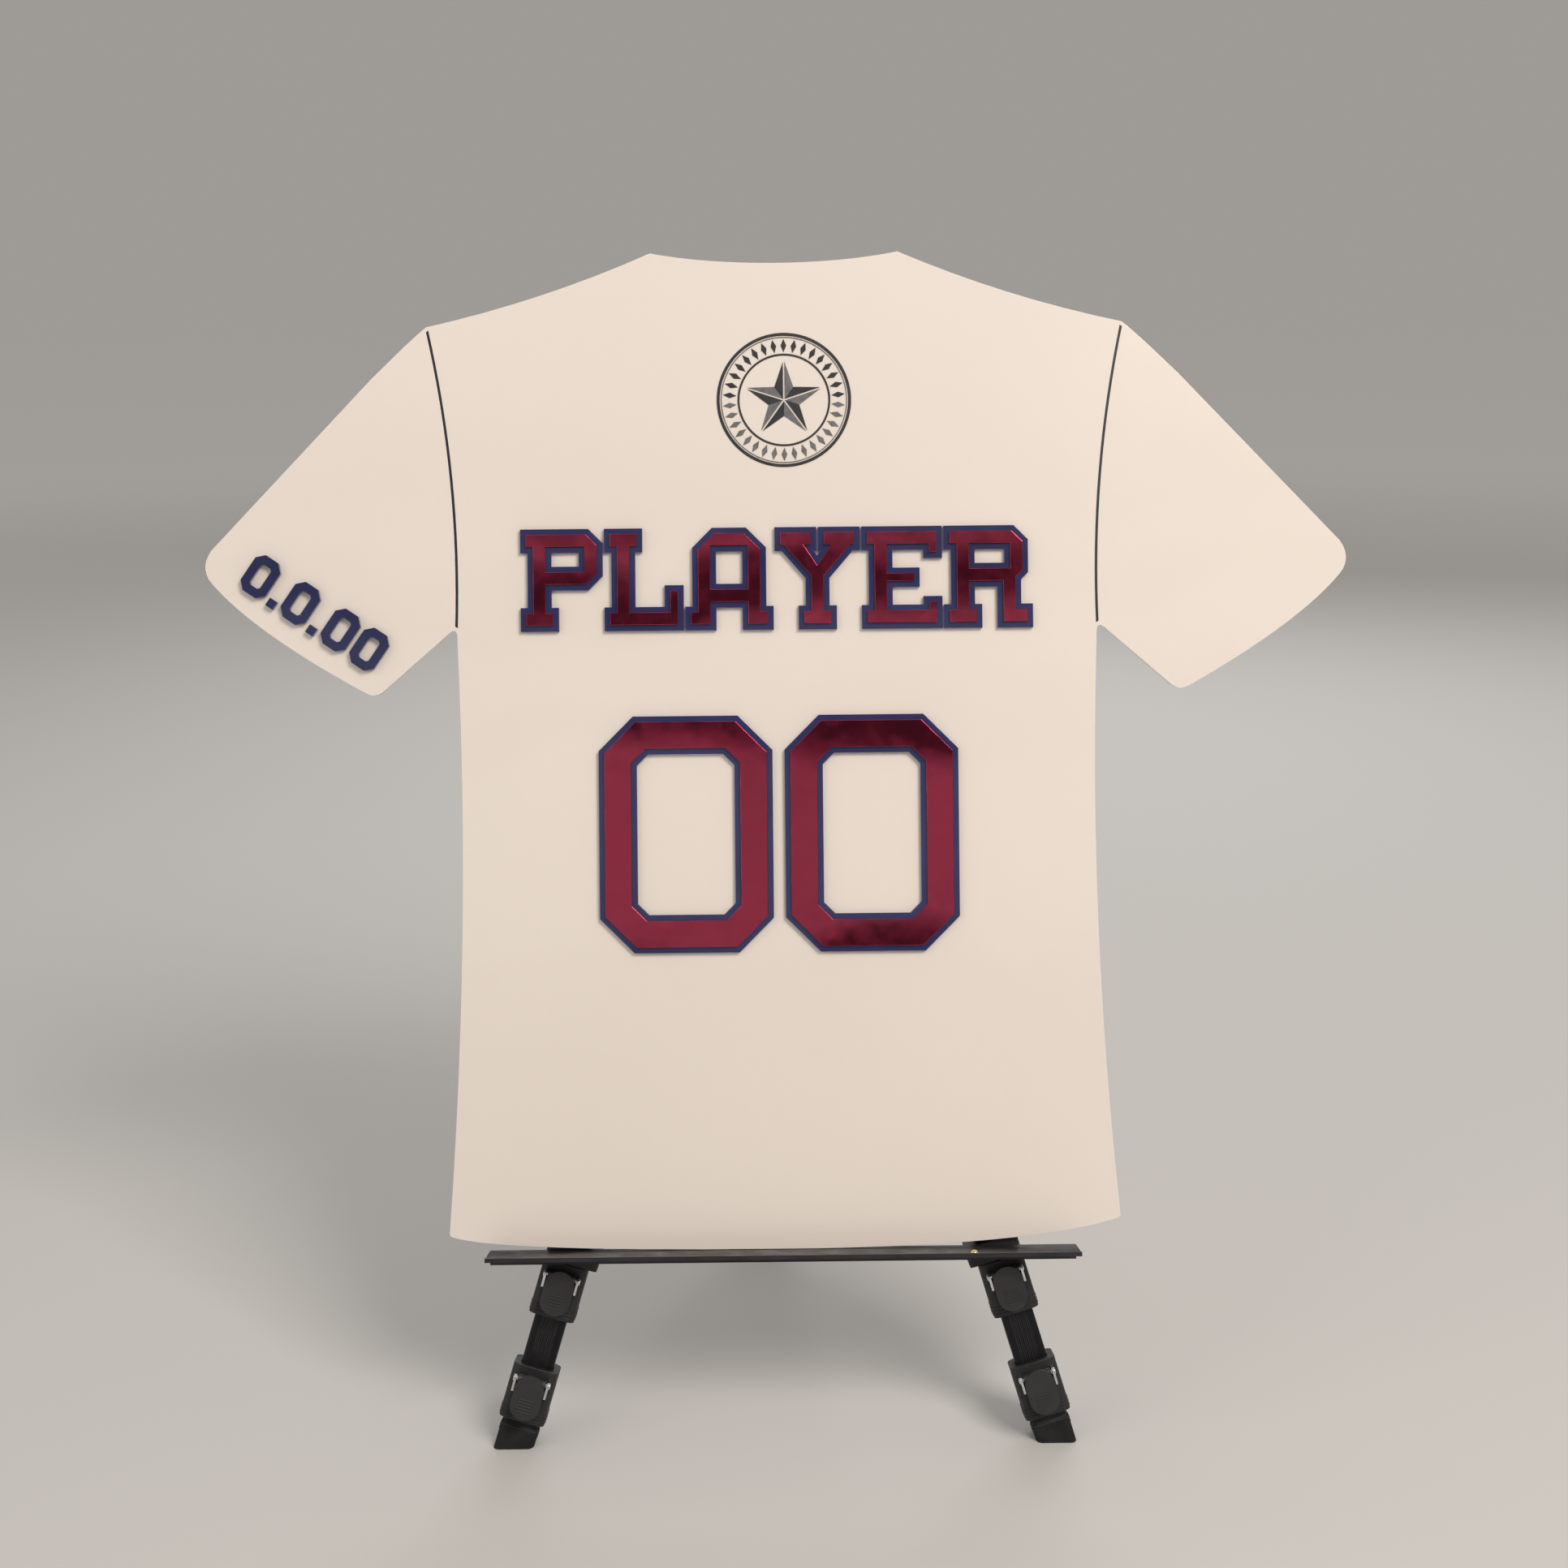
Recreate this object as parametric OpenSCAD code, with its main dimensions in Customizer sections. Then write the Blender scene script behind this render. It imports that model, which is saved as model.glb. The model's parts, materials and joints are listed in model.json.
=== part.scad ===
// Jersey-shaped acrylic display sign standing on a folding tripod easel.
// X runs to the right, -Y is the front and +Z is up. The easel stands on Z = 0.

/* [Panel] */
// Width of the jersey panel from sleeve tip to sleeve tip
panel_w = 762; // [750:2:780]
// Height of the jersey panel from the hem to the collar points
panel_h = 666; // [655:1:680]
// Thickness of the acrylic sheet
panel_t = 6; // [5:0.5:7]
// Width of the engraved sleeve seams
seam_w = 1.8; // [1.2:0.2:3]

/* [Lettering] */
// Height of the letters of the name
name_h = 68.5; // [60:0.5:75]
// Stroke of the name's letters
name_stroke = 16; // [14:0.5:17]
// Height of the two digits
number_h = 158; // [140:1:170]
// Width of each digit
digit_w = 116; // [100:1:120]
// Stroke of the two digits
number_stroke = 25.5; // [22:0.5:30]
// Margin of the lower layer that shows around the upper one
border = 3.9; // [3:0.1:4.5]
// Thickness of the lower layer of the lettering
base_t = 3; // [2:0.5:4]
// Thickness of the upper layer of the lettering
face_t = 2; // [1:0.5:3]

/* [Easel] */
// Angle by which the front legs and the panel lean back
lean = 14; // [12:0.5:16]
// Angle of each front leg away from the centre line
leg_angle = 16.6; // [15:0.1:17]
// Height of the hub's front pivots along the leaning plane
pivot_z = 530; // [520:1:540]
// Height of the ledge's top along the leaning plane
ledge_z = 132; // [130:1:136]
// Length of the ledge bar
ledge_w = 392; // [370:2:420]
// Distance of the rear foot behind the front feet
rear_foot_y = 360; // [340:5:380]

/* [Legs] */
// Width of the outer tube
tube_w = 26; // [24:1:28]
// Depth of the outer tube
tube_d = 17; // [16:0.5:18]
// Wall of the tubes
wall = 1.4; // [1.2:0.1:1.6]
// Gap between one tube and the next, on each side
tube_gap = 0.6; // [0.4:0.1:0.8]
// Height of a lock collar
collar_h = 37; // [34:1:38]
// Length of a lock lever
lever_h = 30; // [26:1:31]
// Width of a lock lever
lever_w = 20; // [16:1:22]

/* [Hidden] */

$fn = 48;
cut = 0.5;                       // overshoot of a cutting solid

// Tubes and collars
mid_w = tube_w - 2 * (wall + tube_gap);
mid_d = tube_d - 2 * (wall + tube_gap);
inner_w = mid_w - 2 * (wall + tube_gap);
inner_d = mid_d - 2 * (wall + tube_gap);
corner_r = 2.5;
slide_gap = 0.15;                // running gap of a tube in a collar
glide_gap = 0.1;                 // running gap of a glide in a tube
glide_h = 5;
collar_w = tube_w + 5;
collar_d = tube_d + 7;
collar_lip = 12;                 // part of the collar that the smaller tube runs in
groove_w = 9;                    // grooves in the collar's sides
groove_depth = 0.8;
foot_top = 17;
lower_collar_z = foot_top + 1;
mid_show = 35;                   // length of middle tube that shows on a front leg
upper_collar_z = lower_collar_z + collar_h + mid_show;
pin_below_top = 7.5;             // lock pin below the top of its collar
knuckle_r = 9;
tube_top_drop = 17;              // end of the outer tube below its pivot
plug_h = 20;                     // part of the knuckle inside the tube
cap_h = 8;                       // part of a glide or a stop inside its tube
inner_end = 5;                   // lower end of the inner tube above the floor
hub_pin_r = 3;
lock_pin_r = 1.5;
pin_gap = 0.05;                  // running gap of a bore on its pin
lock_pin_y = -5.9;               // lock pin in front of the collar's face
lever_top = 4.5;                 // end of the lever above its pin

// Hub and mast
hub_w = 76;
hub_h = 30;
hub_corner = 12;
hub_top = 16;                    // top of the hub above its pivots
tongue_x = 15.2;                 // middle of each tongue that carries the rear leg
tongue_t = 3.6;
block_x = tongue_x + tongue_t / 2; // half the width of the hub's block and of its neck
pivot_x = 24;
plate_in = tube_d / 2 + 0.3;
plate_out = 12;
mast_w = 18;
mast_d = 8;
mast_y = 17.3;
mast_gap = 0.15;
mast_wall = 1.2;
mast_corner = 1.2;
mast_bottom = 200;
neck_top = pivot_z + 42;
block_back = 25;
mast_top = neck_top + 28;
clamp_z = neck_top + 2;
clamp_w = 32;
clamp_h = 32;
clamp_front = 10;
clamp_back = 26;
hook_t = 5;
hook_reach = 46;
knob_r = 2.5;
knob_z = clamp_z + 12;

// Leg lengths from the pivot to the floor
leg_len = pivot_z / cos(leg_angle);
rear_pivot_y = 34;
rear_pivot_z = pivot_z - 14;
rear_world_y = rear_pivot_y * cos(lean) + rear_pivot_z * sin(lean);
rear_world_z = rear_pivot_z * cos(lean) - rear_pivot_y * sin(lean);
rear_run = rear_foot_y - rear_world_y;
rear_len = norm([rear_run, rear_world_z]);
rear_open = atan2(rear_run, rear_world_z) + lean;

// Ledge and panel
ledge_front = -42;
ledge_back = -plate_out - 0.3;
ledge_t = 2;
web_front = ledge_back - ledge_t;
bead_t = 1.6;                    // raised bead along the ledge's front edge
bead_h = 0.8;
web_drop = 9.5;
screw_r = 2;
screw_drop = 5.2;
screw_head_r = 3;
peg_gap = 0.1;
stud_x = 125.6;
stud_r = 1.5;
stud_head_r = 2.7;
stud_inset = bead_t + stud_head_r + 0.3; // stud behind the ledge's front edge, clear of the bead
block_h = 13.5;
boss_w = 12;
boss_x = 15;                     // boss inside the leg's centre line
screw_z = ledge_z - screw_drop;
screw_inset = 15.5;              // screw inside the leg's centre line, across the leg
screw_x = pivot_x + (pivot_z - screw_z) * tan(leg_angle) - screw_inset / cos(leg_angle);
folded_x = pivot_x - screw_inset;
screw_end = 2;                   // depth that the screw and the peg reach in their blocks
panel_back = ledge_back;
panel_front = panel_back - panel_t;
panel_lift = 0.1;
seam_depth = 0.6;

// The outline and the lettering are drawn at these sizes and scaled to the panel's own
draw_w = 762;
draw_h = 666;

// Lettering
serif = 4.8;
name_cut = 9.5;                  // cut corners of the name's letters
name_gap = 0.9;
name_widths = [55, 53, 59, 57, 54, 59.5];
name_low = 253;                  // bottom of the name and of the number below the collar points
number_low = 468;
number_gap = 8;
number_cut = 23;
counter_cut = 7.5;               // cut corners of the opening inside a digit

// Half the depth of the whole object, so that its box is centred on the origin
front_reach = 17.5;
rear_reach = rear_foot_y + 9.8;
middle_y = (rear_reach - front_reach) / 2;

// ---------------------------------------------------------------- frames

module plane() {
    translate([0, -middle_y, 0])
        rotate([-lean, 0, 0])
            children();
}

// A front leg's own frame: z is the distance from the floor along the leg
module front_leg(side) {
    plane()
        translate([side * pivot_x, 0, pivot_z])
            rotate([0, -side * leg_angle, 0])
                translate([0, 0, -leg_len])
                    children();
}

module rear_leg() {
    plane()
        translate([0, rear_pivot_y, rear_pivot_z])
            rotate([rear_open, 0, 0])
                rotate([0, 0, 180])
                    translate([0, 0, -rear_len])
                        children();
}

module above_floor() {
    intersection() {
        children();
        translate([-500, -500, 0])
            cube([1000, 1200, 1000]);
    }
}

// ---------------------------------------------------------------- shapes

module rounded(w, d, r) {
    square([w - 2 * r, d], center = true);
    square([w, d - 2 * r], center = true);
    for (sx = [-1, 1])
        for (sy = [-1, 1])
            translate([sx * (w / 2 - r), sy * (d / 2 - r)])
                circle(r);
}

module bar(w, d, r, z0, z1) {
    translate([0, 0, z0])
        linear_extrude(z1 - z0)
            rounded(w, d, r);
}

module box(low, high) {
    translate(low)
        cube(high - low);
}

// A rod along X or Y through the given point
module rod_x(r, x0, x1, y, z) {
    translate([x0, y, z])
        rotate([0, 90, 0])
            cylinder(r = r, h = x1 - x0);
}

module rod_y(r, y0, y1, x, z) {
    translate([x, y0, z])
        rotate([-90, 0, 0])
            cylinder(r = r, h = y1 - y0);
}

// Extruded aluminium tube with fine flutes along its front and back
module tube(w, d, z0, z1) {
    flute = 1.1;
    pitch = 2.6;
    count = 5;
    translate([0, 0, z0])
        linear_extrude(z1 - z0)
            difference() {
                rounded(w, d, corner_r);
                rounded(w - 2 * wall, d - 2 * wall, corner_r - wall);
                for (i = [0 : count - 1])
                    for (side = [-1, 1])
                        translate([(i - (count - 1) / 2) * pitch, side * d / 2])
                            square([flute, 1], center = true);
            }
}

// ---------------------------------------------------------------- leg pieces

// Solid end of a leg; a side pivot turns about X, a front one about Y
module knuckle(len, side_pivot) {
    end = len - tube_top_drop;
    collar = 3;
    difference() {
        union() {
            if (side_pivot)
                rod_x(tube_d / 2, -tube_w / 2, tube_w / 2, 0, len);
            else
                rod_y(knuckle_r, -tube_d / 2, tube_d / 2, 0, len);
            bar(2 * knuckle_r, tube_d - 0.4, 1, end, len - knuckle_r + 4);
            bar(tube_w, tube_d, corner_r, end, end + collar);
            bar(tube_w - 2 * wall, tube_d - 2 * wall, corner_r - wall, end - plug_h, end);
        }
        if (side_pivot)
            rod_x(hub_pin_r + pin_gap, -tube_w, tube_w, 0, len);
        else
            rod_y(hub_pin_r + pin_gap, -tube_d, tube_d, 0, len);
    }
}

// It holds one tube in its upper end and lets the next run through its lip
module collar(z0, held_w, held_d, run_w, run_d) {
    difference() {
        bar(collar_w, collar_d, 5, z0, z0 + collar_h);
        bar(held_w, held_d, corner_r, z0 + collar_lip, z0 + collar_h + cut);
        bar(run_w + 2 * slide_gap, run_d + 2 * slide_gap, corner_r, z0 - cut, z0 + collar_lip + cut);
        for (side = [-1, 1])
            translate([side * collar_w / 2, 0, z0 + collar_h / 2])
                cube([2 * groove_depth, groove_w, collar_h - 16], center = true);
    }
}

// Cap that closes a tube's inner end and keeps it central in the next tube
module glide(w, d, z1, next_w, next_d) {
    bar(w - 2 * wall, d - 2 * wall, corner_r - wall, z1 - cap_h, z1);
    bar(next_w - 2 * (wall + glide_gap), next_d - 2 * (wall + glide_gap), corner_r - 1, z1, z1 + glide_h);
}

// Rubber foot; it runs below the floor, which cuts it level
module foot_shape() {
    shoulder = foot_top - 4;
    difference() {
        union() {
            bar(tube_w, tube_d + 1, 4, -12, shoulder);
            bar(tube_w - 3, tube_d - 2, 3.5, shoulder, foot_top);
        }
        bar(inner_w, inner_d, corner_r, inner_end, foot_top + cut);
    }
}

// The lock's pin is the origin of the next two, and -Y points away from the collar
module lock_lever() {
    barrel = 3.1;
    plate_t = 3.2;
    plate_back = -0.7;
    rib = 5;
    low = lever_top - lever_h;
    difference() {
        union() {
            translate([0, plate_back, low + lever_h / 2])
                rotate([90, 0, 0])
                    linear_extrude(plate_t)
                        rounded(lever_w, lever_h, lever_w / 2 - 0.1);
            rod_x(barrel, -lever_w / 2 + 0.4, lever_w / 2 - 0.4, 0, 0);
            box([-rib, -1, low + 5], [rib, -lock_pin_y - 0.8, -4.6]);
            box([-rib, -1, -5], [rib, 1.2, 0]);
        }
        rod_x(lock_pin_r + pin_gap, -lever_w, lever_w, 0, 0);
    }
}

module lock_hardware() {
    ear_t = 1.6;
    ear_in = lever_w / 2 + 0.3;
    ear_top = 2.6;
    ear_low = -9;
    nose = -3.4;
    for (side = [-1, 1])
        translate([side * (ear_in + ear_t / 2) - ear_t / 2, 0, 0])
            rotate([90, 0, 90])
                linear_extrude(ear_t)
                    polygon([[-lock_pin_y, ear_low], [-lock_pin_y, ear_top], [-2, ear_top],
                        [nose, 1], [nose, -4], [-1.5, ear_low]]);
    rod_x(lock_pin_r, -ear_in - 2.1, ear_in + 2.1, 0, 0);
}

module at_lock(z0) {
    translate([0, -collar_d / 2 + lock_pin_y, z0 + collar_h - pin_below_top])
        children();
}

// One piece of a telescopic leg; show is the length of middle tube in view
module leg_piece(piece, len, show, side_pivot) {
    upper_z = lower_collar_z + collar_h + show;
    tube_top = len - tube_top_drop;
    mid_top = tube_top - plug_h - show - glide_h;
    inner_top = mid_top - cap_h - glide_h - 2;
    if (piece == "knuckle") color("#1c1c1e") knuckle(len, side_pivot);
    if (piece == "outer_tube") color("#26262a") tube(tube_w, tube_d, upper_z + collar_lip, tube_top);
    if (piece == "upper_collar") color("#1c1c1e") collar(upper_z, tube_w, tube_d, mid_w, mid_d);
    if (piece == "upper_hardware") color("silver") at_lock(upper_z) lock_hardware();
    if (piece == "upper_lever") color("#202022") at_lock(upper_z) lock_lever();
    if (piece == "middle_tube") color("#2c2c30") tube(mid_w, mid_d, lower_collar_z + collar_lip, mid_top);
    if (piece == "middle_glide") color("#161616") glide(mid_w, mid_d, mid_top, tube_w, tube_d);
    if (piece == "lower_collar") color("#1c1c1e") collar(lower_collar_z, mid_w, mid_d, inner_w, inner_d);
    if (piece == "lower_hardware") color("silver") at_lock(lower_collar_z) lock_hardware();
    if (piece == "lower_lever") color("#202022") at_lock(lower_collar_z) lock_lever();
    if (piece == "inner_tube") color("#2c2c30") tube(inner_w, inner_d, inner_end, inner_top);
    if (piece == "inner_glide") color("#161616") glide(inner_w, inner_d, inner_top, mid_w, mid_d);
    if (piece == "foot") color("#111111") foot_shape();
}

module front_piece(piece, side) {
    above_floor() front_leg(side) leg_piece(piece, leg_len, mid_show, false);
}

module rear_piece(piece) {
    above_floor() rear_leg() leg_piece(piece, rear_len, mid_show - leg_len + rear_len, true);
}

module right_knuckle() { front_piece("knuckle", 1); }
module right_outer_tube() { front_piece("outer_tube", 1); }
module right_upper_collar() { front_piece("upper_collar", 1); }
module right_upper_hardware() { front_piece("upper_hardware", 1); }
module right_upper_lever() { front_piece("upper_lever", 1); }
module right_middle_tube() { front_piece("middle_tube", 1); }
module right_middle_glide() { front_piece("middle_glide", 1); }
module right_lower_collar() { front_piece("lower_collar", 1); }
module right_lower_hardware() { front_piece("lower_hardware", 1); }
module right_lower_lever() { front_piece("lower_lever", 1); }
module right_inner_tube() { front_piece("inner_tube", 1); }
module right_inner_glide() { front_piece("inner_glide", 1); }
module right_foot() { front_piece("foot", 1); }

module left_knuckle() { front_piece("knuckle", -1); }
module left_outer_tube() { front_piece("outer_tube", -1); }
module left_upper_collar() { front_piece("upper_collar", -1); }
module left_upper_hardware() { front_piece("upper_hardware", -1); }
module left_upper_lever() { front_piece("upper_lever", -1); }
module left_middle_tube() { front_piece("middle_tube", -1); }
module left_middle_glide() { front_piece("middle_glide", -1); }
module left_lower_collar() { front_piece("lower_collar", -1); }
module left_lower_hardware() { front_piece("lower_hardware", -1); }
module left_lower_lever() { front_piece("lower_lever", -1); }
module left_inner_tube() { front_piece("inner_tube", -1); }
module left_inner_glide() { front_piece("inner_glide", -1); }
module left_foot() { front_piece("foot", -1); }

module rear_knuckle() { rear_piece("knuckle"); }
module rear_outer_tube() { rear_piece("outer_tube"); }
module rear_upper_collar() { rear_piece("upper_collar"); }
module rear_upper_hardware() { rear_piece("upper_hardware"); }
module rear_upper_lever() { rear_piece("upper_lever"); }
module rear_middle_tube() { rear_piece("middle_tube"); }
module rear_middle_glide() { rear_piece("middle_glide"); }
module rear_lower_collar() { rear_piece("lower_collar"); }
module rear_lower_hardware() { rear_piece("lower_hardware"); }
module rear_lower_lever() { rear_piece("lower_lever"); }
module rear_inner_tube() { rear_piece("inner_tube"); }
module rear_inner_glide() { rear_piece("inner_glide"); }
module rear_foot() { rear_piece("foot"); }

// ---------------------------------------------------------------- hub and mast

module hub_plate(y0, y1) {
    translate([0, y1, pivot_z + hub_top - hub_h / 2])
        rotate([90, 0, 0])
            linear_extrude(y1 - y0)
                rounded(hub_w, hub_h, hub_corner);
}

// Tongue behind the hub that carries one end of the rear leg's pin
module tongue(x) {
    low = x - tongue_t / 2;
    high = x + tongue_t / 2;
    box([low, block_back - cut, rear_pivot_z - knuckle_r], [high, rear_pivot_y, rear_pivot_z + knuckle_r]);
    rod_x(knuckle_r, low, high, rear_pivot_y, rear_pivot_z);
}

module hub() {
    color("#1c1c1e") plane()
        difference() {
            union() {
                hub_plate(-plate_out, -plate_in);
                hub_plate(plate_in, plate_out);
                box([-9, -plate_in - cut, pivot_z - 12], [9, plate_in + cut, pivot_z + hub_top]);
                box([-hub_w / 2, -plate_in - cut, pivot_z + hub_top - 4],
                    [hub_w / 2, plate_in + cut, pivot_z + hub_top]);
                box([-block_x, plate_out - cut, pivot_z - 16], [block_x, block_back, neck_top]);
                for (side = [-1, 1])
                    tongue(side * tongue_x);
            }
            translate([0, mast_y, 0])
                bar(mast_w + 2 * mast_gap, mast_d + 2 * mast_gap, mast_corner,
                    pivot_z - 20, neck_top + cut);
            for (side = [-1, 1])
                rod_y(hub_pin_r, -plate_out - cut, plate_out + cut, side * pivot_x, pivot_z);
            rod_x(hub_pin_r, -block_x - cut, block_x + cut, rear_pivot_y, rear_pivot_z);
        }
}

module hub_pins() {
    color("silver") plane() {
        for (side = [-1, 1])
            rod_y(hub_pin_r, -plate_out, plate_out, side * pivot_x, pivot_z);
        rod_x(hub_pin_r, -block_x, block_x, rear_pivot_y, rear_pivot_z);
    }
}

module mast_tube() {
    color("#2c2c30") plane()
        translate([0, mast_y, mast_bottom])
            linear_extrude(mast_top - mast_bottom)
                difference() {
                    rounded(mast_w, mast_d, mast_corner);
                    rounded(mast_w - 2 * mast_wall, mast_d - 2 * mast_wall, 0.4);
                }
}

module mast_stop() {
    color("#161616") plane()
        translate([0, mast_y, 0]) {
            bar(mast_w + 1, mast_d + 0.8, 1.6, mast_bottom - 4, mast_bottom);
            bar(mast_w - 2 * mast_wall, mast_d - 2 * mast_wall, 0.4, mast_bottom, mast_bottom + cap_h);
        }
}

module at_mast_lock() {
    plane()
        translate([0, block_back - lock_pin_y, neck_top - 7])
            rotate([0, 0, 180])
                children();
}

module mast_lock_lever() {
    color("#202022") at_mast_lock() lock_lever();
}

module mast_lock_hardware() {
    color("silver") at_mast_lock() lock_hardware();
}

// Head on the mast's top; its hook is turned to the back, clear of a tall panel
module clamp_block() {
    half = clamp_w / 2;
    top = clamp_z + clamp_h;
    color("#1c1c1e") plane()
        difference() {
            union() {
                box([-half, clamp_front, clamp_z], [half, clamp_back, top]);
                box([-half, clamp_back - cut, top - 6], [half, hook_reach, top]);
                box([-half, hook_reach - hook_t, clamp_z + 12], [half, hook_reach, top - hook_t]);
            }
            translate([0, mast_y, 0])
                bar(mast_w, mast_d, mast_corner, clamp_z - cut, mast_top);
            rod_x(knob_r, half / 2, half + 1, mast_y, knob_z);
        }
}

// Thumbscrew with a lobed head, which presses on the mast's side
module clamp_knob() {
    head = 9;
    head_t = 8;
    head_in = clamp_w / 2 + 1;
    tip = mast_w / 2 + 0.2;
    lobes = 6;
    color("#202022") plane()
        translate([0, mast_y, knob_z])
            rotate([0, 90, 0]) {
                translate([0, 0, tip])
                    cylinder(r = knob_r - pin_gap, h = head_in + 1.2 - tip);
                translate([0, 0, head_in])
                    linear_extrude(head_t)
                        difference() {
                            circle(head);
                            for (i = [0 : lobes - 1])
                                rotate(i * 360 / lobes)
                                    translate([head + 1.6, 0])
                                        circle(3);
                        }
            }
}

// ---------------------------------------------------------------- ledge

// Top plate with a low bead in front, and a web behind that hangs on the legs
module ledge_bar() {
    travel = screw_x - folded_x;
    half = ledge_w / 2;
    slot_r = screw_r + peg_gap;
    color("#1a1a1c") plane()
        difference() {
            union() {
                box([-half, ledge_front, ledge_z - ledge_t], [half, ledge_back, ledge_z]);
                box([-half, web_front, ledge_z - web_drop], [half, ledge_back, ledge_z]);
                box([-half, ledge_front, ledge_z - ledge_t], [half, ledge_front + bead_t, ledge_z + bead_h]);
            }
            rod_y(screw_r + pin_gap, web_front - cut, ledge_back + cut, screw_x, screw_z);
            translate([stud_x, ledge_front + stud_inset, ledge_z - ledge_t - cut])
                cylinder(r = stud_r, h = ledge_t + 2 * cut);
            translate([0, ledge_back + cut, screw_z])
                rotate([90, 0, 0])
                    linear_extrude(ledge_t + 2 * cut)
                        translate([-screw_x + travel, 0])
                            rounded(2 * (travel + slot_r + 1), 2 * slot_r, slot_r - 0.01);
        }
}

// Domed head that rises along Z from a flat seat
module dome(r, high) {
    ball = (r * r + high * high) / (2 * high);
    intersection() {
        translate([0, 0, high - ball])
            sphere(r = ball);
        translate([-r - 1, -r - 1, 0])
            cube([2 * r + 2, 2 * r + 2, high + 1]);
    }
}

// Brass stud near the right end of the ledge's top
module ledge_stud() {
    color("goldenrod") plane()
        translate([stud_x, ledge_front + stud_inset, ledge_z]) {
            dome(stud_head_r, 2.2);
            translate([0, 0, -ledge_t])
                cylinder(r = stud_r, h = ledge_t + cut);
        }
}

// Sleeve on a leg just above its upper collar, with a boss towards the other leg
module ledge_block(side) {
    above = upper_collar_z + collar_h + 0.5;
    front_leg(side)
        difference() {
            union() {
                bar(collar_w, collar_d, 5, above, above + block_h);
                translate([-side * boss_x, 0, 0])
                    bar(boss_w, collar_d, 3, above, above + block_h);
            }
            bar(tube_w, tube_d, corner_r, above - cut, above + block_h + cut);
        }
}

module ledge_pivot_block() {
    color("#1c1c1e")
        difference() {
            ledge_block(1);
            plane() rod_y(screw_r, -collar_d, screw_end, screw_x, screw_z);
        }
}

// Screw through the web into the right block, with its domed head under the plate
module ledge_pivot_screw() {
    color("goldenrod") plane() {
        rod_y(screw_r, web_front - cut, screw_end, screw_x, screw_z);
        translate([screw_x, web_front - 0.1, screw_z])
            rotate([90, 0, 0])
                dome(screw_head_r, 1.8);
    }
}

// Block on the left leg with a plain peg that runs in the ledge's slot
module ledge_peg_block() {
    color("#1c1c1e") {
        ledge_block(-1);
        plane() rod_y(screw_r, web_front - 2.2, screw_end, -screw_x, screw_z);
    }
}

// ---------------------------------------------------------------- panel

// A point at a distance from the centre line and a drop below the collar points
function at(x, drop) = [x * panel_w / draw_w, panel_h * (1 - drop / draw_h)];

// Quadratic curve through a and c, pulled towards b
function bend(a, b, c, steps) = [for (i = [0 : steps])
    let (t = i / steps) (1 - t) * (1 - t) * a + 2 * t * (1 - t) * b + t * t * c];

// The seam runs from the shoulder to the armpit
function seam_top() = at(232.8, 48.2);
function seam_curve() = bend(seam_top(), at(210.4, 150), at(214.3, 252), 16);

// Right half from the collar to the hem's corner, which lies at x and drop
function right_half(x, drop) = concat(
    bend(at(0, 7), at(46, 7), at(83, 0), 8),
    bend(at(83, 0), at(154.5, 31.2), seam_top(), 8),
    bend(seam_top(), at(240, 53.4), at(269.5, 82.3), 6),
    bend(at(377.2, 196.2), at(384.4, 206), at(379.3, 215.5), 6),
    bend(at(377, 218.7), at(349.8, 250.7), at(278, 291), 16),
    bend(at(273, 293.5), at(268, 296), at(262, 290.5), 5),
    bend(at(219, 253), at(213.5, 248.5), at(213.6, 257), 5),
    bend(at(213.6, 260), at(206, 450), at(x - 0.3, drop - 2.2), 12),
    bend(at(x - 0.3, drop - 2.2), at(x, drop), at(x - 2.1, drop + 0.5), 4));

function mirrored(points) = [for (i = [len(points) - 1 : -1 : 0]) [-points[i][0], points[i][1]]];

// The hem hangs a little lower at its left corner than at its right one
module jersey_outline() {
    right = right_half(225.5, 647.2);
    left = right_half(222.4, 655.4);
    hem = at(0, draw_h);
    right_hem = bend(right[len(right) - 1], at(165, draw_h), hem, 14);
    left_hem = bend(left[len(left) - 1], at(190, draw_h), hem, 14);
    polygon(concat(right, right_hem, mirrored(concat(left, left_hem))));
}

module seam_line() {
    line = seam_curve();
    half = [seam_w / 2, 0];
    intersection() {
        union()
            for (side = [0, 1])
                mirror([side, 0])
                    polygon(concat([for (p = line) p + half],
                        [for (i = [len(line) - 1 : -1 : 0]) line[i] - half]));
        offset(delta = -2.5)
            jersey_outline();
    }
}

// Puts a flat drawing on the panel, with its back at the given depth
module on_panel(back, thick) {
    plane()
        translate([0, back, ledge_z + panel_lift])
            rotate([90, 0, 0])
                linear_extrude(thick)
                    children();
}

module jersey_panel() {
    color("whitesmoke")
        difference() {
            on_panel(panel_back, panel_t)
                jersey_outline();
            on_panel(panel_front + seam_depth, seam_depth + cut)
                seam_line();
        }
}

module seam_paint() {
    color("black")
        on_panel(panel_front + seam_depth, seam_depth)
            seam_line();
}

// ---------------------------------------------------------------- lettering

// A rectangle with its four corners cut at the given sizes
module plate(w, h, low_left, low_right, high_right, high_left) {
    difference() {
        square([w, h]);
        chip(0, 0, low_left);
        chip(w, 0, low_right);
        chip(w, h, high_right);
        chip(0, h, high_left);
    }
}

module chip(x, y, size) {
    if (size > 0)
        translate([x, y])
            rotate(45)
                square(size * sqrt(2), center = true);
}

module slab(x, y, w) {
    translate([x, y])
        square([w, name_stroke]);
}

module stem(x) {
    translate([x, 0])
        square([name_stroke, name_h]);
}

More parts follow.
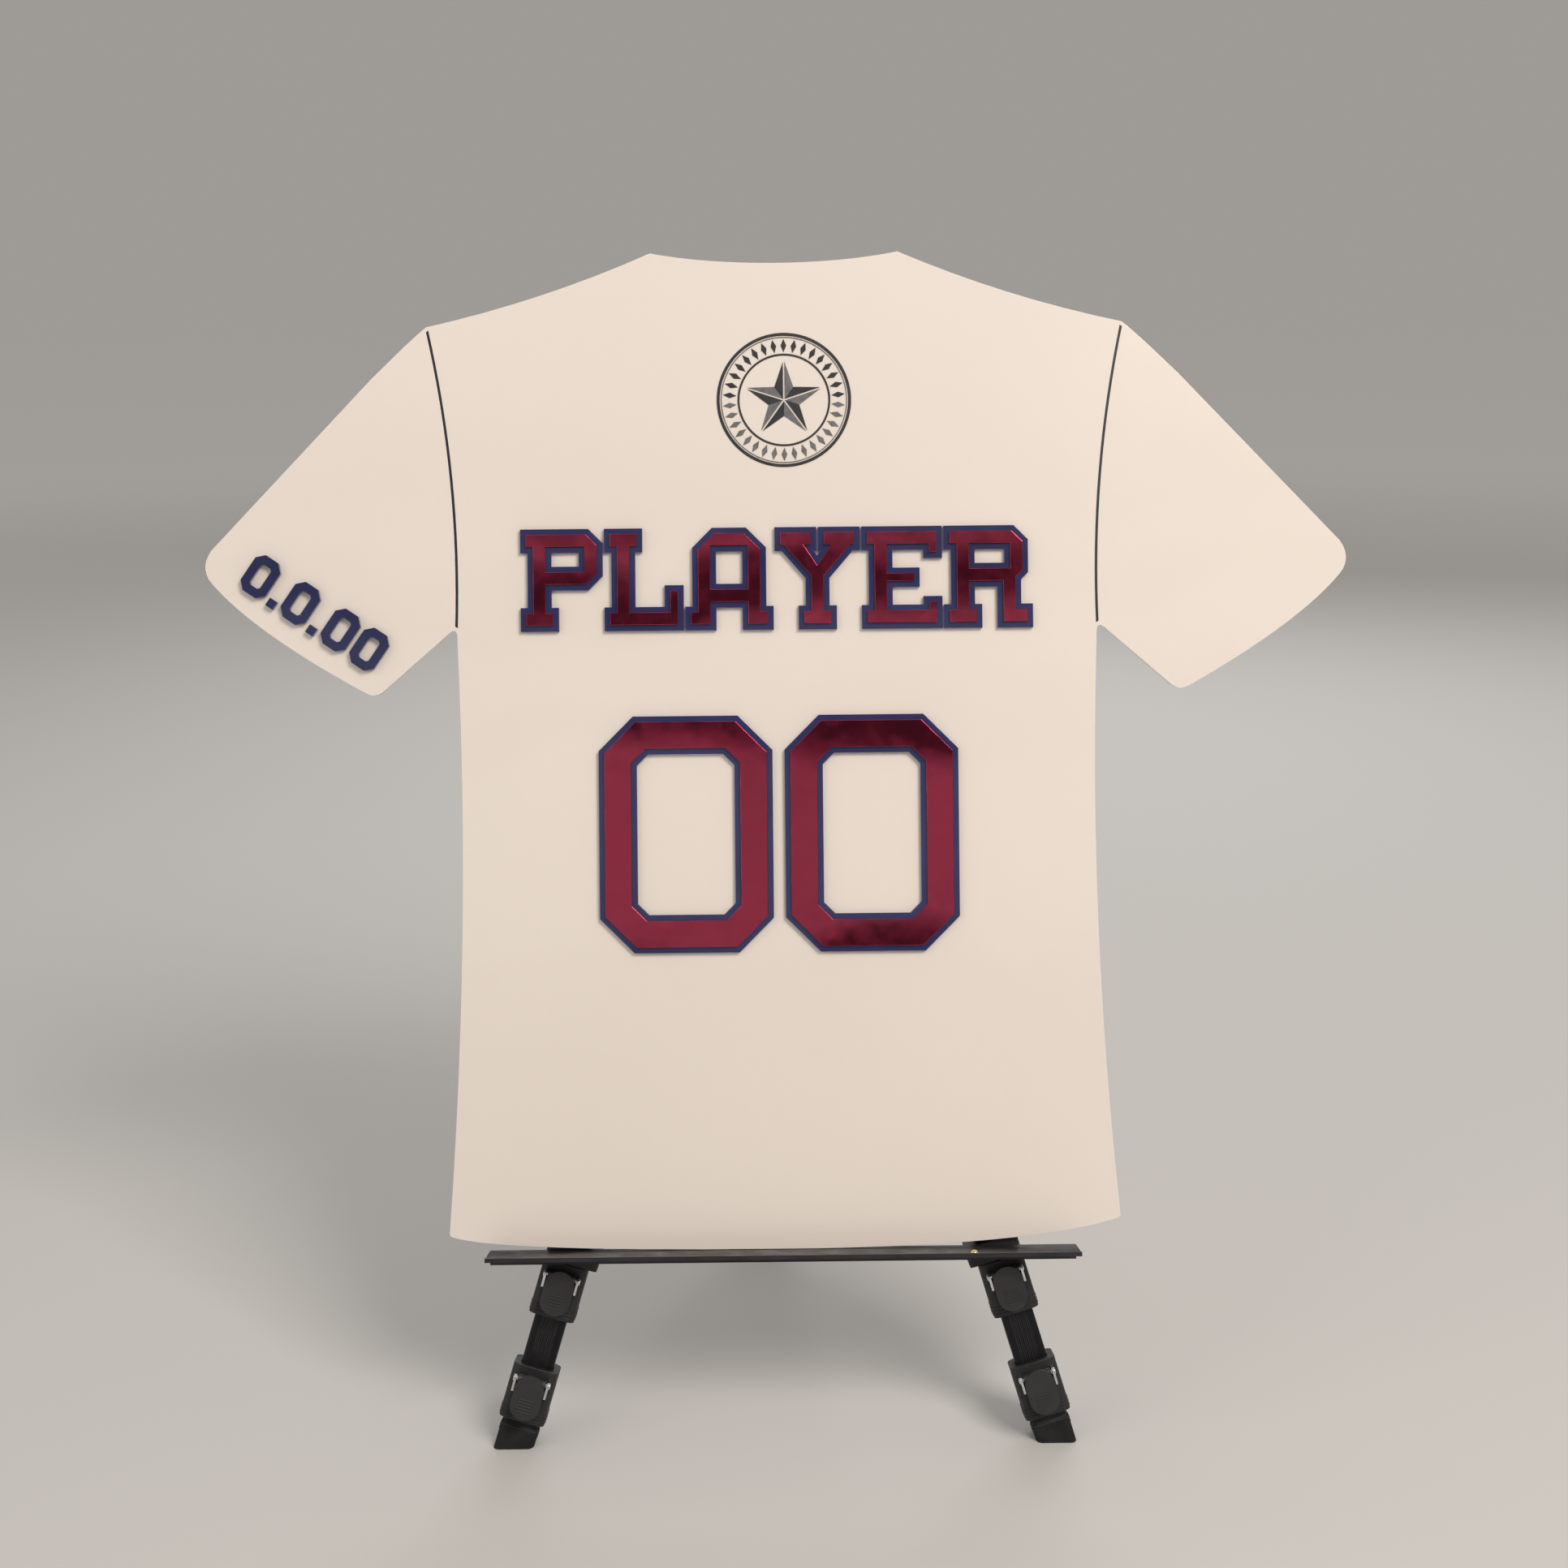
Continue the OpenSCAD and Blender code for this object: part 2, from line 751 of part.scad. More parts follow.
// Upper bowl shared by P and R
module bowl(w) {
    high = name_h * 0.6;
    difference() {
        translate([serif, name_h - high])
            plate(w - serif, high, 0, name_cut, name_cut, 0);
        translate([serif + name_stroke, name_h - high + name_stroke])
            square([w - serif - 2 * name_stroke, high - 2 * name_stroke]);
    }
    slab(0, name_h - name_stroke, 2 * serif);
    stem(serif);
}

module letter_p(w) {
    bowl(w);
    slab(0, 0, name_stroke + 2 * serif);
}

module letter_r(w) {
    toe = 3;
    leg = w - name_stroke - serif - toe;
    bowl(w - toe);
    slab(0, 0, name_stroke + 2 * serif);
    translate([leg, 0])
        square([name_stroke, name_h * 0.5]);
    slab(leg, 0, w - leg);
}

module letter_l(w) {
    tick = name_stroke * 0.8;
    stem(serif);
    slab(0, name_h - name_stroke, name_stroke + 2 * serif);
    slab(0, 0, w);
    translate([w - tick, 0])
        square([tick, name_stroke * 1.9]);
}

module letter_a(w) {
    foot_w = name_stroke + serif;
    open_w = w - 2 * foot_w;
    below = 15;
    difference() {
        translate([serif, 0])
            plate(w - 2 * serif, name_h, 0, 0, name_cut * 1.4, name_cut * 1.4);
        translate([foot_w, -cut])
            square([open_w, below + cut]);
        translate([foot_w, below + name_stroke])
            square([open_w, name_h - 2 * name_stroke - below]);
    }
    slab(0, 0, foot_w);
    slab(w - foot_w, 0, foot_w);
}

module letter_y(w) {
    middle = w / 2;
    half = name_stroke / 2;
    fork = name_h * 0.5;
    arm = name_h - name_stroke;
    split = 0.5;
    slab(0, arm, middle - split);
    slab(middle + split, arm, middle - split);
    for (side = [0, 1])
        translate([middle, 0])
            mirror([side, 0])
                polygon([[0, 0], [half, 0], [half, fork], [middle - serif, arm],
                    [middle - serif, arm + 1], [2, arm + 1], [2, arm], [0, arm - 3]]);
    slab(middle - half - serif, 0, name_stroke + 2 * serif);
}

module letter_e(w) {
    tick = name_stroke * 0.8;
    tick_h = name_stroke * 1.35;
    bar_h = 13;
    stem(serif);
    slab(0, 0, w);
    slab(0, name_h - name_stroke, w);
    translate([w - tick, name_h - tick_h])
        square([tick, name_stroke]);
    translate([w - tick, 0])
        square([tick, tick_h]);
    translate([serif, (name_h - bar_h) / 2])
        square([w * 0.72 - serif, bar_h]);
}

// Sum of the first n numbers of a list
function sum_of(list, n) = n == 0 ? 0 : sum_of(list, n - 1) + list[n - 1];

module name_letter(i) {
    w = name_widths[i];
    if (i == 0) letter_p(w);
    if (i == 1) letter_l(w);
    if (i == 2) letter_a(w);
    if (i == 3) letter_y(w);
    if (i == 4) letter_e(w);
    if (i == 5) letter_r(w);
}

// The name's letters, each drawn in by the given margin
module name_drawing(margin) {
    count = len(name_widths);
    long = sum_of(name_widths, count) + (count - 1) * name_gap;
    for (i = [0 : count - 1])
        translate(at(0, name_low) + [sum_of(name_widths, i) + i * name_gap - long / 2, 0])
            offset(delta = -margin)
                name_letter(i);
}

// Block figure: a plate with cut corners round an opening with smaller ones
module figure(w, h, stroke, outer, inner) {
    difference() {
        plate(w, h, outer, outer, outer, outer);
        translate([stroke, stroke])
            plate(w - 2 * stroke, h - 2 * stroke, inner, inner, inner, inner);
    }
}

module number_drawing(margin) {
    for (x = [-digit_w - number_gap / 2, number_gap / 2])
        translate(at(0, number_low) + [x, 0])
            offset(delta = -margin)
                figure(digit_w, number_h, number_stroke, number_cut, counter_cut);
}

module name_base() {
    color("#28347a") on_panel(panel_front, base_t) name_drawing(0);
}

module name_face() {
    color("#8c1f3c") on_panel(panel_front - base_t, face_t) name_drawing(border);
}

module number_base() {
    color("#28347a") on_panel(panel_front, base_t) number_drawing(0);
}

module number_face() {
    color("#8c1f3c") on_panel(panel_front - base_t, face_t) number_drawing(border);
}

// Row of small block figures in three groups, parted by square dots
module date_drawing() {
    high = 28;
    wide = 20;
    stroke = 6;
    dot = 6;
    gap = 3;
    widths = [wide, dot, wide, dot, wide, wide];
    long = 4 * wide + 2 * dot + 5 * gap;
    for (i = [0 : 5]) {
        translate([sum_of(widths, i) + i * gap - long / 2, -high / 2])
            if (widths[i] == dot)
                square(dot);
            else
                figure(wide, high, stroke, 5, 1.5);
    }
}

// The figures follow the hem of the left sleeve
module date_digits() {
    slope = 34.3;
    color("#232d5c")
        on_panel(panel_front, base_t + 1)
            translate(at(-307.9, 239))
                rotate(-slope)
                    date_drawing();
}

// Badge on the chest: a double ring round a five-pointed star
module emblem_drawing() {
    outer = 45;
    points = 5;
    star_r = 27;
    waist = star_r * 0.42;
    ring(outer, 3.4);
    ring(outer - 6, 1.4);
    polygon([for (i = [0 : 2 * points - 1])
        let (r = i % 2 == 0 ? star_r : waist, a = 90 + i * 180 / points)
            [r * cos(a), r * sin(a)]]);
}

module ring(r, thick) {
    difference() {
        circle(r);
        circle(r - thick);
    }
}

module emblem_print() {
    color("#2b2b2b")
        on_panel(panel_front, 0.3)
            translate(at(6, 99))
                emblem_drawing();
}

hub();
hub_pins();
mast_tube();
mast_stop();
mast_lock_lever();
mast_lock_hardware();
clamp_block();
clamp_knob();
right_knuckle();
right_outer_tube();
right_upper_collar();
right_upper_hardware();
right_upper_lever();
right_middle_tube();
right_middle_glide();
right_lower_collar();
right_lower_hardware();
right_lower_lever();
right_inner_tube();
right_inner_glide();
right_foot();
left_knuckle();
left_outer_tube();
left_upper_collar();
left_upper_hardware();
left_upper_lever();
left_middle_tube();
left_middle_glide();
left_lower_collar();
left_lower_hardware();
left_lower_lever();
left_inner_tube();
left_inner_glide();
left_foot();
rear_knuckle();
rear_outer_tube();
rear_upper_collar();
rear_upper_hardware();
rear_upper_lever();
rear_middle_tube();
rear_middle_glide();
rear_lower_collar();
rear_lower_hardware();
rear_lower_lever();
rear_inner_tube();
rear_inner_glide();
rear_foot();
ledge_bar();
ledge_stud();
ledge_pivot_block();
ledge_pivot_screw();
ledge_peg_block();
jersey_panel();
seam_paint();
name_base();
name_face();
number_base();
number_face();
date_digits();
emblem_print();
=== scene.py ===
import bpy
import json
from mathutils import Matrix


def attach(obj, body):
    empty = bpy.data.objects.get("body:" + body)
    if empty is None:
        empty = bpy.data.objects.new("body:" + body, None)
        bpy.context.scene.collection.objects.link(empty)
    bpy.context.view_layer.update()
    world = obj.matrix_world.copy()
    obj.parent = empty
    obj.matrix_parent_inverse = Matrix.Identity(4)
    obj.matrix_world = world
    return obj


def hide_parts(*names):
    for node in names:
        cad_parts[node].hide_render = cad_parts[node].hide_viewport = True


bl_info = {
    "name": "Jersey sign on an easel",
    "version": (1, 0, 0),
    "blender": (4, 5, 0),
    "location": "3D Viewport > Sidebar > Jersey sign",
    "description": "Builds the looks of a jersey-shaped acrylic sign on a folding tripod easel",
    "category": "Object",
}

import json
import math

import bmesh
import bpy
from mathutils import Matrix, Vector

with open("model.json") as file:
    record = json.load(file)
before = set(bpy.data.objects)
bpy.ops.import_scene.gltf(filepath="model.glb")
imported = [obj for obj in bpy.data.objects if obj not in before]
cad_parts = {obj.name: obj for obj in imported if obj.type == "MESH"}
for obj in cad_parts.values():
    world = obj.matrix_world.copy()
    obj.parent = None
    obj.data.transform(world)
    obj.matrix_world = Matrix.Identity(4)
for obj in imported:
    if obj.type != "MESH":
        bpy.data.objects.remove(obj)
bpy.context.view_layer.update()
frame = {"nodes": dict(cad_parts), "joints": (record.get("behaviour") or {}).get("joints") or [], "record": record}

LEGS = ("right", "left", "rear")
MM = 0.001
SENSOR = 36.0       # width of the camera's sensor in millimetres


# ------------------------------------------------------------------ places taken from the frame

def joint(name):
    return next(j for j in frame["joints"] if j["name"] == name)


def axis_of(name):
    return Vector(joint(name)["axis"]).normalized()


def place(name):
    return Vector(joint(name)["pos_m"])


def basis(side, depth, up, origin):
    """A matrix whose x, y and z run along side, depth and up from the origin."""
    turn = Matrix((side, depth, up)).transposed().to_4x4()
    return Matrix.Translation(origin) @ turn


UP = axis_of("panel_lift_off")
RIGHT = Vector((1, 0, 0))
BACK = UP.cross(RIGHT)


def lever_basis(pivot_joint, along):
    """The lock's own frame: x along its pin, z up the tube, -y away from the collar."""
    side = -axis_of(pivot_joint)
    up = along.normalized()
    return basis(side, up.cross(side), up, place(pivot_joint))


def locks():
    """Each flip lock as (body that turns, body that holds it, lever node, frame of the pin)."""
    found = []
    for leg in LEGS:
        along = -axis_of(leg + "_middle_slide")
        for level, holder in (("upper", "_upper_leg"), ("lower", "_middle_leg")):
            name = f"{leg}_{level}_lever"
            found.append((name, leg + holder, name, lever_basis(name + "_flip", along)))
    found.append(("mast_lever", "hub", "mast_lock_lever", lever_basis("mast_lever_flip", UP)))
    return found


# ------------------------------------------------------------------ small helpers

def settings():
    return bpy.context.scene.jersey_sign


def link(obj):
    bpy.context.scene.collection.objects.link(obj)
    return obj


def new_object(name, mesh):
    return link(bpy.data.objects.new(name, mesh))


def mesh_from(name, bm):
    mesh = bpy.data.meshes.new(name)
    bm.to_mesh(mesh)
    bm.free()
    return mesh


def smooth(mesh, angle=30.0):
    """Smooth shading with edges sharper than the angle kept crisp."""
    mesh.shade_smooth()
    bm = bmesh.new()
    bm.from_mesh(mesh)
    limit = math.radians(angle)
    for edge in bm.edges:
        if len(edge.link_faces) == 2:
            edge.smooth = edge.calc_face_angle(0.0) < limit
        else:
            edge.smooth = False
    bm.to_mesh(mesh)
    bm.free()


def apply_modifiers(obj):
    graph = bpy.context.evaluated_depsgraph_get()
    mesh = bpy.data.meshes.new_from_object(obj.evaluated_get(graph))
    obj.modifiers.clear()
    obj.data = mesh


def paint(obj, material):
    obj.data.materials.clear()
    obj.data.materials.append(material)


def edge_mask(mesh):
    """Turns the second material index, which the bevel gave its faces, into the attribute "edge"."""
    mask = [float(face.material_index) for face in mesh.polygons]
    mesh.attributes.new("edge", "FLOAT", "FACE").data.foreach_set("value", mask)
    mesh.polygons.foreach_set("material_index", [0] * len(mask))


def bevelled_copy(node, edge, finish, segments=2, angle=35.0):
    """A copy of a CAD node with its edges broken, which is shown in the node's place."""
    bm = bmesh.new()
    bm.from_mesh(frame["nodes"][node].data)
    bmesh.ops.remove_doubles(bm, verts=bm.verts, dist=2e-6)
    bmesh.ops.dissolve_limit(bm, angle_limit=math.radians(0.5), verts=bm.verts, edges=bm.edges)
    obj = new_object(node + "_shell", mesh_from(node + "_shell", bm))
    smooth(obj.data)
    for _ in range(2):
        obj.data.materials.append(MATERIALS[finish])
    bevel = obj.modifiers.new("edge", "BEVEL")
    bevel.width = edge
    bevel.segments = segments
    bevel.limit_method = "ANGLE"
    bevel.angle_limit = math.radians(angle)
    bevel.use_clamp_overlap = True
    bevel.harden_normals = True
    bevel.material = 1
    apply_modifiers(obj)
    edge_mask(obj.data)
    paint(obj, MATERIALS[finish])
    return hold(obj, body_holding(node), slot_of(node), node)


def hold(obj, body, slot, *nodes):
    """Ties a piece to its body and hides the CAD nodes that it stands for; the slot is not used."""
    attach(obj, body)
    for node in nodes:
        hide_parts(node)
    return obj


def body_holding(node):
    groups = frame["record"]["behaviour"]["bodies"]
    return next(body for body, nodes in groups.items() if node in nodes)


# ------------------------------------------------------------------ materials

def choose(nodes, links, test, first, second):
    """Colour socket that is the second colour where the test is 1 and the first where it is 0."""
    mix = nodes.new("ShaderNodeMix")
    mix.data_type = "RGBA"
    sockets = {socket.identifier: socket for socket in mix.inputs}
    links.new(test, sockets["Factor_Float"])
    for value, name in ((first, "A_Color"), (second, "B_Color")):
        if isinstance(value, tuple):
            sockets[name].default_value = (*value, 1.0)
        else:
            links.new(value, sockets[name])
    return next(socket for socket in mix.outputs if socket.identifier == "Result_Color")


class Finish:
    """One Principled material, with the few nodes that the finishes below share."""

    def __init__(self, name, colour, roughness, **sockets):
        self.material = bpy.data.materials.new(name)
        self.material.use_nodes = True
        self.nodes = self.material.node_tree.nodes
        self.links = self.material.node_tree.links
        self.shader = self.nodes["Principled BSDF"]
        self.shader.inputs["Base Color"].default_value = (*colour, 1.0)
        self.shader.inputs["Roughness"].default_value = roughness
        for socket, value in sockets.items():
            title = socket.replace("_", " ").title().replace("Ior", "IOR")
            self.shader.inputs[title].default_value = value
        self.coords = self.nodes.new("ShaderNodeTexCoord")
        self.normal = None

    def noise(self, scale, detail=4.0, stretch=(1, 1, 1)):
        mapping = self.nodes.new("ShaderNodeMapping")
        mapping.inputs["Scale"].default_value = stretch
        texture = self.nodes.new("ShaderNodeTexNoise")
        texture.inputs["Scale"].default_value = scale
        texture.inputs["Detail"].default_value = detail
        self.links.new(self.coords.outputs["Object"], mapping.inputs["Vector"])
        self.links.new(mapping.outputs["Vector"], texture.inputs["Vector"])
        return texture.outputs["Fac"]

    def ramp(self, source, low, high, first=0.35, last=0.65):
        ramp = self.nodes.new("ShaderNodeValToRGB")
        ramp.color_ramp.elements[0].position = first
        ramp.color_ramp.elements[1].position = last
        ramp.color_ramp.elements[0].color = (*low, 1.0)
        ramp.color_ramp.elements[1].color = (*high, 1.0)
        self.links.new(source, ramp.inputs["Fac"])
        return ramp.outputs["Color"]

    def mottle(self, scale, low, high, **how):
        """Slow change of colour over the surface."""
        self.links.new(self.ramp(self.noise(scale, **how), low, high), self.shader.inputs["Base Color"])
        return self

    def painted_edge_highlight(self, colour, scale=90.0, first=0.3, last=0.6):
        """A painted highlight: a second, lighter colour along the broken edges, in patches."""
        mask = self.nodes.new("ShaderNodeAttribute")
        mask.attribute_name = "edge"
        patches = self.ramp(self.noise(scale), (0, 0, 0), (1, 1, 1), first, last)
        both = self.nodes.new("ShaderNodeMath")
        both.operation = "MULTIPLY"
        self.links.new(mask.outputs["Fac"], both.inputs[0])
        self.links.new(patches, both.inputs[1])
        base = self.shader.inputs["Base Color"]
        result = choose(self.nodes, self.links, both.outputs["Value"], base.links[0].from_socket, colour)
        self.links.new(result, base)
        return self

    def scuff(self, scale, low, high, **how):
        """Roughness that wanders between two values."""
        spread = self.ramp(self.noise(scale, **how), (low,) * 3, (high,) * 3)
        self.links.new(spread, self.shader.inputs["Roughness"])
        return self

    def bump(self, scale, height, strength=1.0, **how):
        node = self.nodes.new("ShaderNodeBump")
        node.inputs["Strength"].default_value = strength
        node.inputs["Distance"].default_value = height
        self.links.new(self.noise(scale, **how), node.inputs["Height"])
        if self.normal is not None:
            self.links.new(self.normal, node.inputs["Normal"])
        self.normal = node.outputs["Normal"]
        self.links.new(self.normal, self.shader.inputs["Normal"])
        return self


def toned(colour, factor):
    return tuple(min(1.0, channel * factor) for channel in colour)


def white_acrylic(colour):
    """Cast white sheet: glossy, faintly uneven from casting, with a painted highlight on its polished edges."""
    return Finish("white_acrylic", colour, 0.18, coat_weight=0.5, coat_roughness=0.03) \
        .mottle(2.2, toned(colour, 0.975), toned(colour, 1.01), detail=2.0) \
        .painted_edge_highlight((0.97, 0.95, 0.92), 30.0, 0.2, 0.4) \
        .scuff(9.0, 0.14, 0.22) \
        .bump(1.6, 0.0012, 0.35, detail=1.0).material


def coloured_acrylic(name, colour, edge_highlight_gain=2.2):
    # The bevelled edges get a painted highlight, a lighter tone of the colour, in patches.
    return Finish(name, colour, 0.14, coat_weight=0.5, coat_roughness=0.04) \
        .mottle(14.0, toned(colour, 0.85), toned(colour, 1.12)) \
        .painted_edge_highlight(toned(colour, edge_highlight_gain), 40.0) \
        .scuff(60.0, 0.1, 0.2) \
        .bump(5.0, 0.0008, 0.3, detail=1.0).material


def mirror_acrylic(colour):
    """Mirrored sheet: its reflections waver a little, because thin sheet never lies quite flat."""
    # The bevelled edges get a painted highlight, twice as bright as the tint, in patches.
    return Finish("red_mirror_acrylic", colour, 0.06, metallic=1.0, coat_weight=0.3,
                  coat_roughness=0.02) \
        .mottle(6.0, toned(colour, 0.9), toned(colour, 1.05)) \
        .painted_edge_highlight(toned(colour, 2.0), 60.0, 0.45, 0.6) \
        .scuff(80.0, 0.03, 0.08) \
        .bump(7.0, 0.0012, 0.5, detail=1.0) \
        .bump(26.0, 0.0002, 0.3, detail=2.0).material


def anodised(name, colour):
    """Satin black tube, drawn along its length, with a painted highlight on its edges."""
    return Finish(name, colour, 0.4, metallic=0.75) \
        .mottle(30.0, toned(colour, 0.8), toned(colour, 1.25), stretch=(1, 1, 0.2)) \
        .painted_edge_highlight((0.085, 0.085, 0.09), 40.0, 0.3, 0.5) \
        .scuff(220.0, 0.32, 0.48, stretch=(1, 1, 0.08)) \
        .bump(900.0, 0.00003, 0.5, stretch=(1, 1, 0.05)).material


def moulded(name, colour, low=0.42, high=0.6, grain=0.00005):
    """Fine spark-textured moulded plastic, with a painted highlight along its edges."""
    return Finish(name, colour, low, specular_ior_level=0.45) \
        .mottle(24.0, toned(colour, 0.85), toned(colour, 1.2)) \
        .painted_edge_highlight(toned(colour, 3.0), 150.0, 0.45, 0.6) \
        .scuff(120.0, low, high) \
        .bump(1400.0, grain, 0.6, detail=2.0).material


def rubber(colour):
    # Rubber with a painted highlight along its bevelled edges.
    return Finish("foot_rubber", colour, 0.8, specular_ior_level=0.3) \
        .mottle(60.0, toned(colour, 0.7), toned(colour, 1.6)) \
        .painted_edge_highlight(toned(colour, 3.5), 110.0) \
        .scuff(90.0, 0.7, 0.92) \
        .bump(700.0, 0.0001, 0.7).material


def plated(name, colour, low, high):
    return Finish(name, colour, low, metallic=1.0) \
        .mottle(50.0, toned(colour, 0.88), toned(colour, 1.04)) \
        .scuff(180.0, low, high) \
        .bump(400.0, 0.00002, 0.3).material


def powder_coat(name, colour):
    """Black powder coat with a fine orange peel, and a painted highlight along its edges."""
    return Finish(name, colour, 0.36, specular_ior_level=0.5) \
        .mottle(18.0, toned(colour, 0.85), toned(colour, 1.2)) \
        .painted_edge_highlight((0.2, 0.19, 0.18), 60.0, 0.35, 0.5) \
        .scuff(70.0, 0.28, 0.44) \
        .bump(1100.0, 0.00006, 0.5, detail=3.0).material


def printed(name, colour):
    """Matt vinyl print with the slight unevenness of its ink."""
    return Finish(name, colour, 0.45) \
        .mottle(300.0, toned(colour, 0.85), toned(colour, 1.25)) \
        .scuff(150.0, 0.38, 0.52) \
        .bump(800.0, 0.00002, 0.4).material


def painted_floor(near, far):
    """Matt floor that grows paler away from the lights, so that it looks even in their falloff."""
    floor = Finish("studio_floor", near, 1.0, specular_ior_level=0.0)
    distance = floor.nodes.new("ShaderNodeVectorMath")
    distance.operation = "LENGTH"
    floor.links.new(floor.coords.outputs["Object"], distance.inputs[0])
    fade = floor.nodes.new("ShaderNodeMapRange")
    fade.interpolation_type = "SMOOTHSTEP"
    fade.inputs["From Min"].default_value = 2.5
    fade.inputs["From Max"].default_value = 8.0
    floor.links.new(distance.outputs["Value"], fade.inputs["Value"])
    colour = choose(floor.nodes, floor.links, fade.outputs["Result"], near, far)
    floor.links.new(colour, floor.shader.inputs["Base Color"])
    return floor.material


MATERIALS = {}


def make_materials():
    s = settings()
    MATERIALS.update(
        white_acrylic=white_acrylic(s.panel_colour[:]),
        blue_acrylic=coloured_acrylic("blue_acrylic", s.base_colour[:]),
        navy_acrylic=coloured_acrylic("navy_acrylic", s.date_colour[:]),
        red_mirror_acrylic=mirror_acrylic(s.mirror_colour[:]),
        seam_paint=printed("seam_paint", s.print_colour[:]),
        badge_print=printed("badge_print", s.print_colour[:]),
        badge_grey=printed("badge_grey", s.grey_colour[:]),
        black_aluminium=anodised("black_aluminium", s.metal_colour[:]),
        collar_plastic=moulded("collar_plastic", s.plastic_colour[:]),
        lever_plastic=moulded("lever_plastic", toned(s.plastic_colour[:], 1.6), 0.34, 0.48),
        glide_plastic=moulded("glide_plastic", toned(s.plastic_colour[:], 0.8)),
        foot_rubber=rubber(toned(s.plastic_colour[:], 0.8)),
        chrome_hardware=plated("chrome_hardware", (0.72, 0.72, 0.73), 0.12, 0.26),
        brass_screw=plated("brass_screw", (0.83, 0.62, 0.3), 0.16, 0.3),
        ledge_paint=powder_coat("ledge_paint", s.metal_colour[:]),
    )


def slot_of(node):
    return next(s["material_slot"] for s in frame["record"]["subparts"] if s["node"] == node)


# ------------------------------------------------------------------ geometry node trees

class Tree:
    """A geometry node tree with named inputs, ending in Realize Instances and Set Material."""

    def __init__(self, name, material, inputs):
        self.group = bpy.data.node_groups.new(name, "GeometryNodeTree")
        face = self.group.interface
        face.new_socket("Geometry", in_out="INPUT", socket_type="NodeSocketGeometry")
        self.names = {}
        for title, (kind, value) in inputs.items():
            socket = face.new_socket(title, in_out="INPUT", socket_type=kind)
            socket.default_value = value
            self.names[title] = socket.identifier
        face.new_socket("Geometry", in_out="OUTPUT", socket_type="NodeSocketGeometry")
        self.source = self.group.nodes.new("NodeGroupInput")
        self.material = material

    def add(self, kind, **props):
        node = self.group.nodes.new(kind)
        for key, value in props.items():
            setattr(node, key, value)
        return node

    def wire(self, start, end):
        self.group.links.new(start, end)

    def given(self, title):
        return self.source.outputs[title]

    def finish(self, geometry):
        realize = self.add("GeometryNodeRealizeInstances")
        dress = self.add("GeometryNodeSetMaterial")
        dress.inputs["Material"].default_value = self.material
        out = self.add("NodeGroupOutput")
        self.wire(geometry, realize.inputs["Geometry"])
        self.wire(realize.outputs["Geometry"], dress.inputs["Geometry"])
        self.wire(dress.outputs["Geometry"], out.inputs["Geometry"])

    def mesh(self, name, place_at, **values):
        """The tree's result as a plain mesh object, put in place."""
        obj = new_object(name, bpy.data.meshes.new(name))
        modifier = obj.modifiers.new("repeat", "NODES")
        modifier.node_group = self.group
        for title, value in values.items():
            modifier[self.names[title.replace("_", " ")]] = value
        apply_modifiers(obj)
        obj.data.transform(place_at)
        if not obj.data.materials:
            obj.data.materials.append(self.material)
        return obj


def rib_row_tree(material):
    """Round bars side by side, in steps along z."""
    tree = Tree("rib_row", material, {
        "count": ("NodeSocketInt", 4), "step": ("NodeSocketFloat", 0.002),
        "length": ("NodeSocketFloat", 0.01), "radius": ("NodeSocketFloat", 0.0005)})
    step = tree.add("ShaderNodeCombineXYZ")
    tree.wire(tree.given("step"), step.inputs["Z"])
    line = tree.add("GeometryNodeMeshLine")
    tree.wire(tree.given("count"), line.inputs["Count"])
    tree.wire(step.outputs["Vector"], line.inputs["Offset"])
    rod = tree.add("GeometryNodeMeshCylinder")
    rod.inputs["Vertices"].default_value = 12
    tree.wire(tree.given("radius"), rod.inputs["Radius"])
    tree.wire(tree.given("length"), rod.inputs["Depth"])
    turn = tree.add("GeometryNodeTransform")
    turn.inputs["Rotation"].default_value = (0, math.pi / 2, 0)
    tree.wire(rod.outputs["Mesh"], turn.inputs["Geometry"])
    place_all = tree.add("GeometryNodeInstanceOnPoints")
    tree.wire(line.outputs["Mesh"], place_all.inputs["Points"])
    tree.wire(turn.outputs["Geometry"], place_all.inputs["Instance"])
    tree.finish(place_all.outputs["Instances"])
    return tree


def band_tree(material):
    """Raised bands with round section that run round a rounded rectangle, in steps along z."""
    tree = Tree("bands", material, {
        "count": ("NodeSocketInt", 3), "step": ("NodeSocketFloat", 0.003),
        "width": ("NodeSocketFloat", 0.02), "depth": ("NodeSocketFloat", 0.01),
        "corner": ("NodeSocketFloat", 0.003), "radius": ("NodeSocketFloat", 0.0005)})
    outline = tree.add("GeometryNodeCurvePrimitiveQuadrilateral")
    tree.wire(tree.given("width"), outline.inputs["Width"])
    tree.wire(tree.given("depth"), outline.inputs["Height"])
    fillet = tree.add("GeometryNodeFilletCurve", mode="POLY")
    fillet.inputs["Count"].default_value = 6
    tree.wire(outline.outputs["Curve"], fillet.inputs["Curve"])
    tree.wire(tree.given("corner"), fillet.inputs["Radius"])
    section = tree.add("GeometryNodeCurvePrimitiveCircle")
    section.inputs["Resolution"].default_value = 10
    tree.wire(tree.given("radius"), section.inputs["Radius"])
    sweep = tree.add("GeometryNodeCurveToMesh")
    tree.wire(fillet.outputs["Curve"], sweep.inputs["Curve"])
    tree.wire(section.outputs["Curve"], sweep.inputs["Profile Curve"])
    step = tree.add("ShaderNodeCombineXYZ")
    tree.wire(tree.given("step"), step.inputs["Z"])
    line = tree.add("GeometryNodeMeshLine")
    tree.wire(tree.given("count"), line.inputs["Count"])
    tree.wire(step.outputs["Vector"], line.inputs["Offset"])
    place_all = tree.add("GeometryNodeInstanceOnPoints")
    tree.wire(line.outputs["Mesh"], place_all.inputs["Points"])
    tree.wire(sweep.outputs["Mesh"], place_all.inputs["Instance"])
    tree.finish(place_all.outputs["Instances"])
    return tree


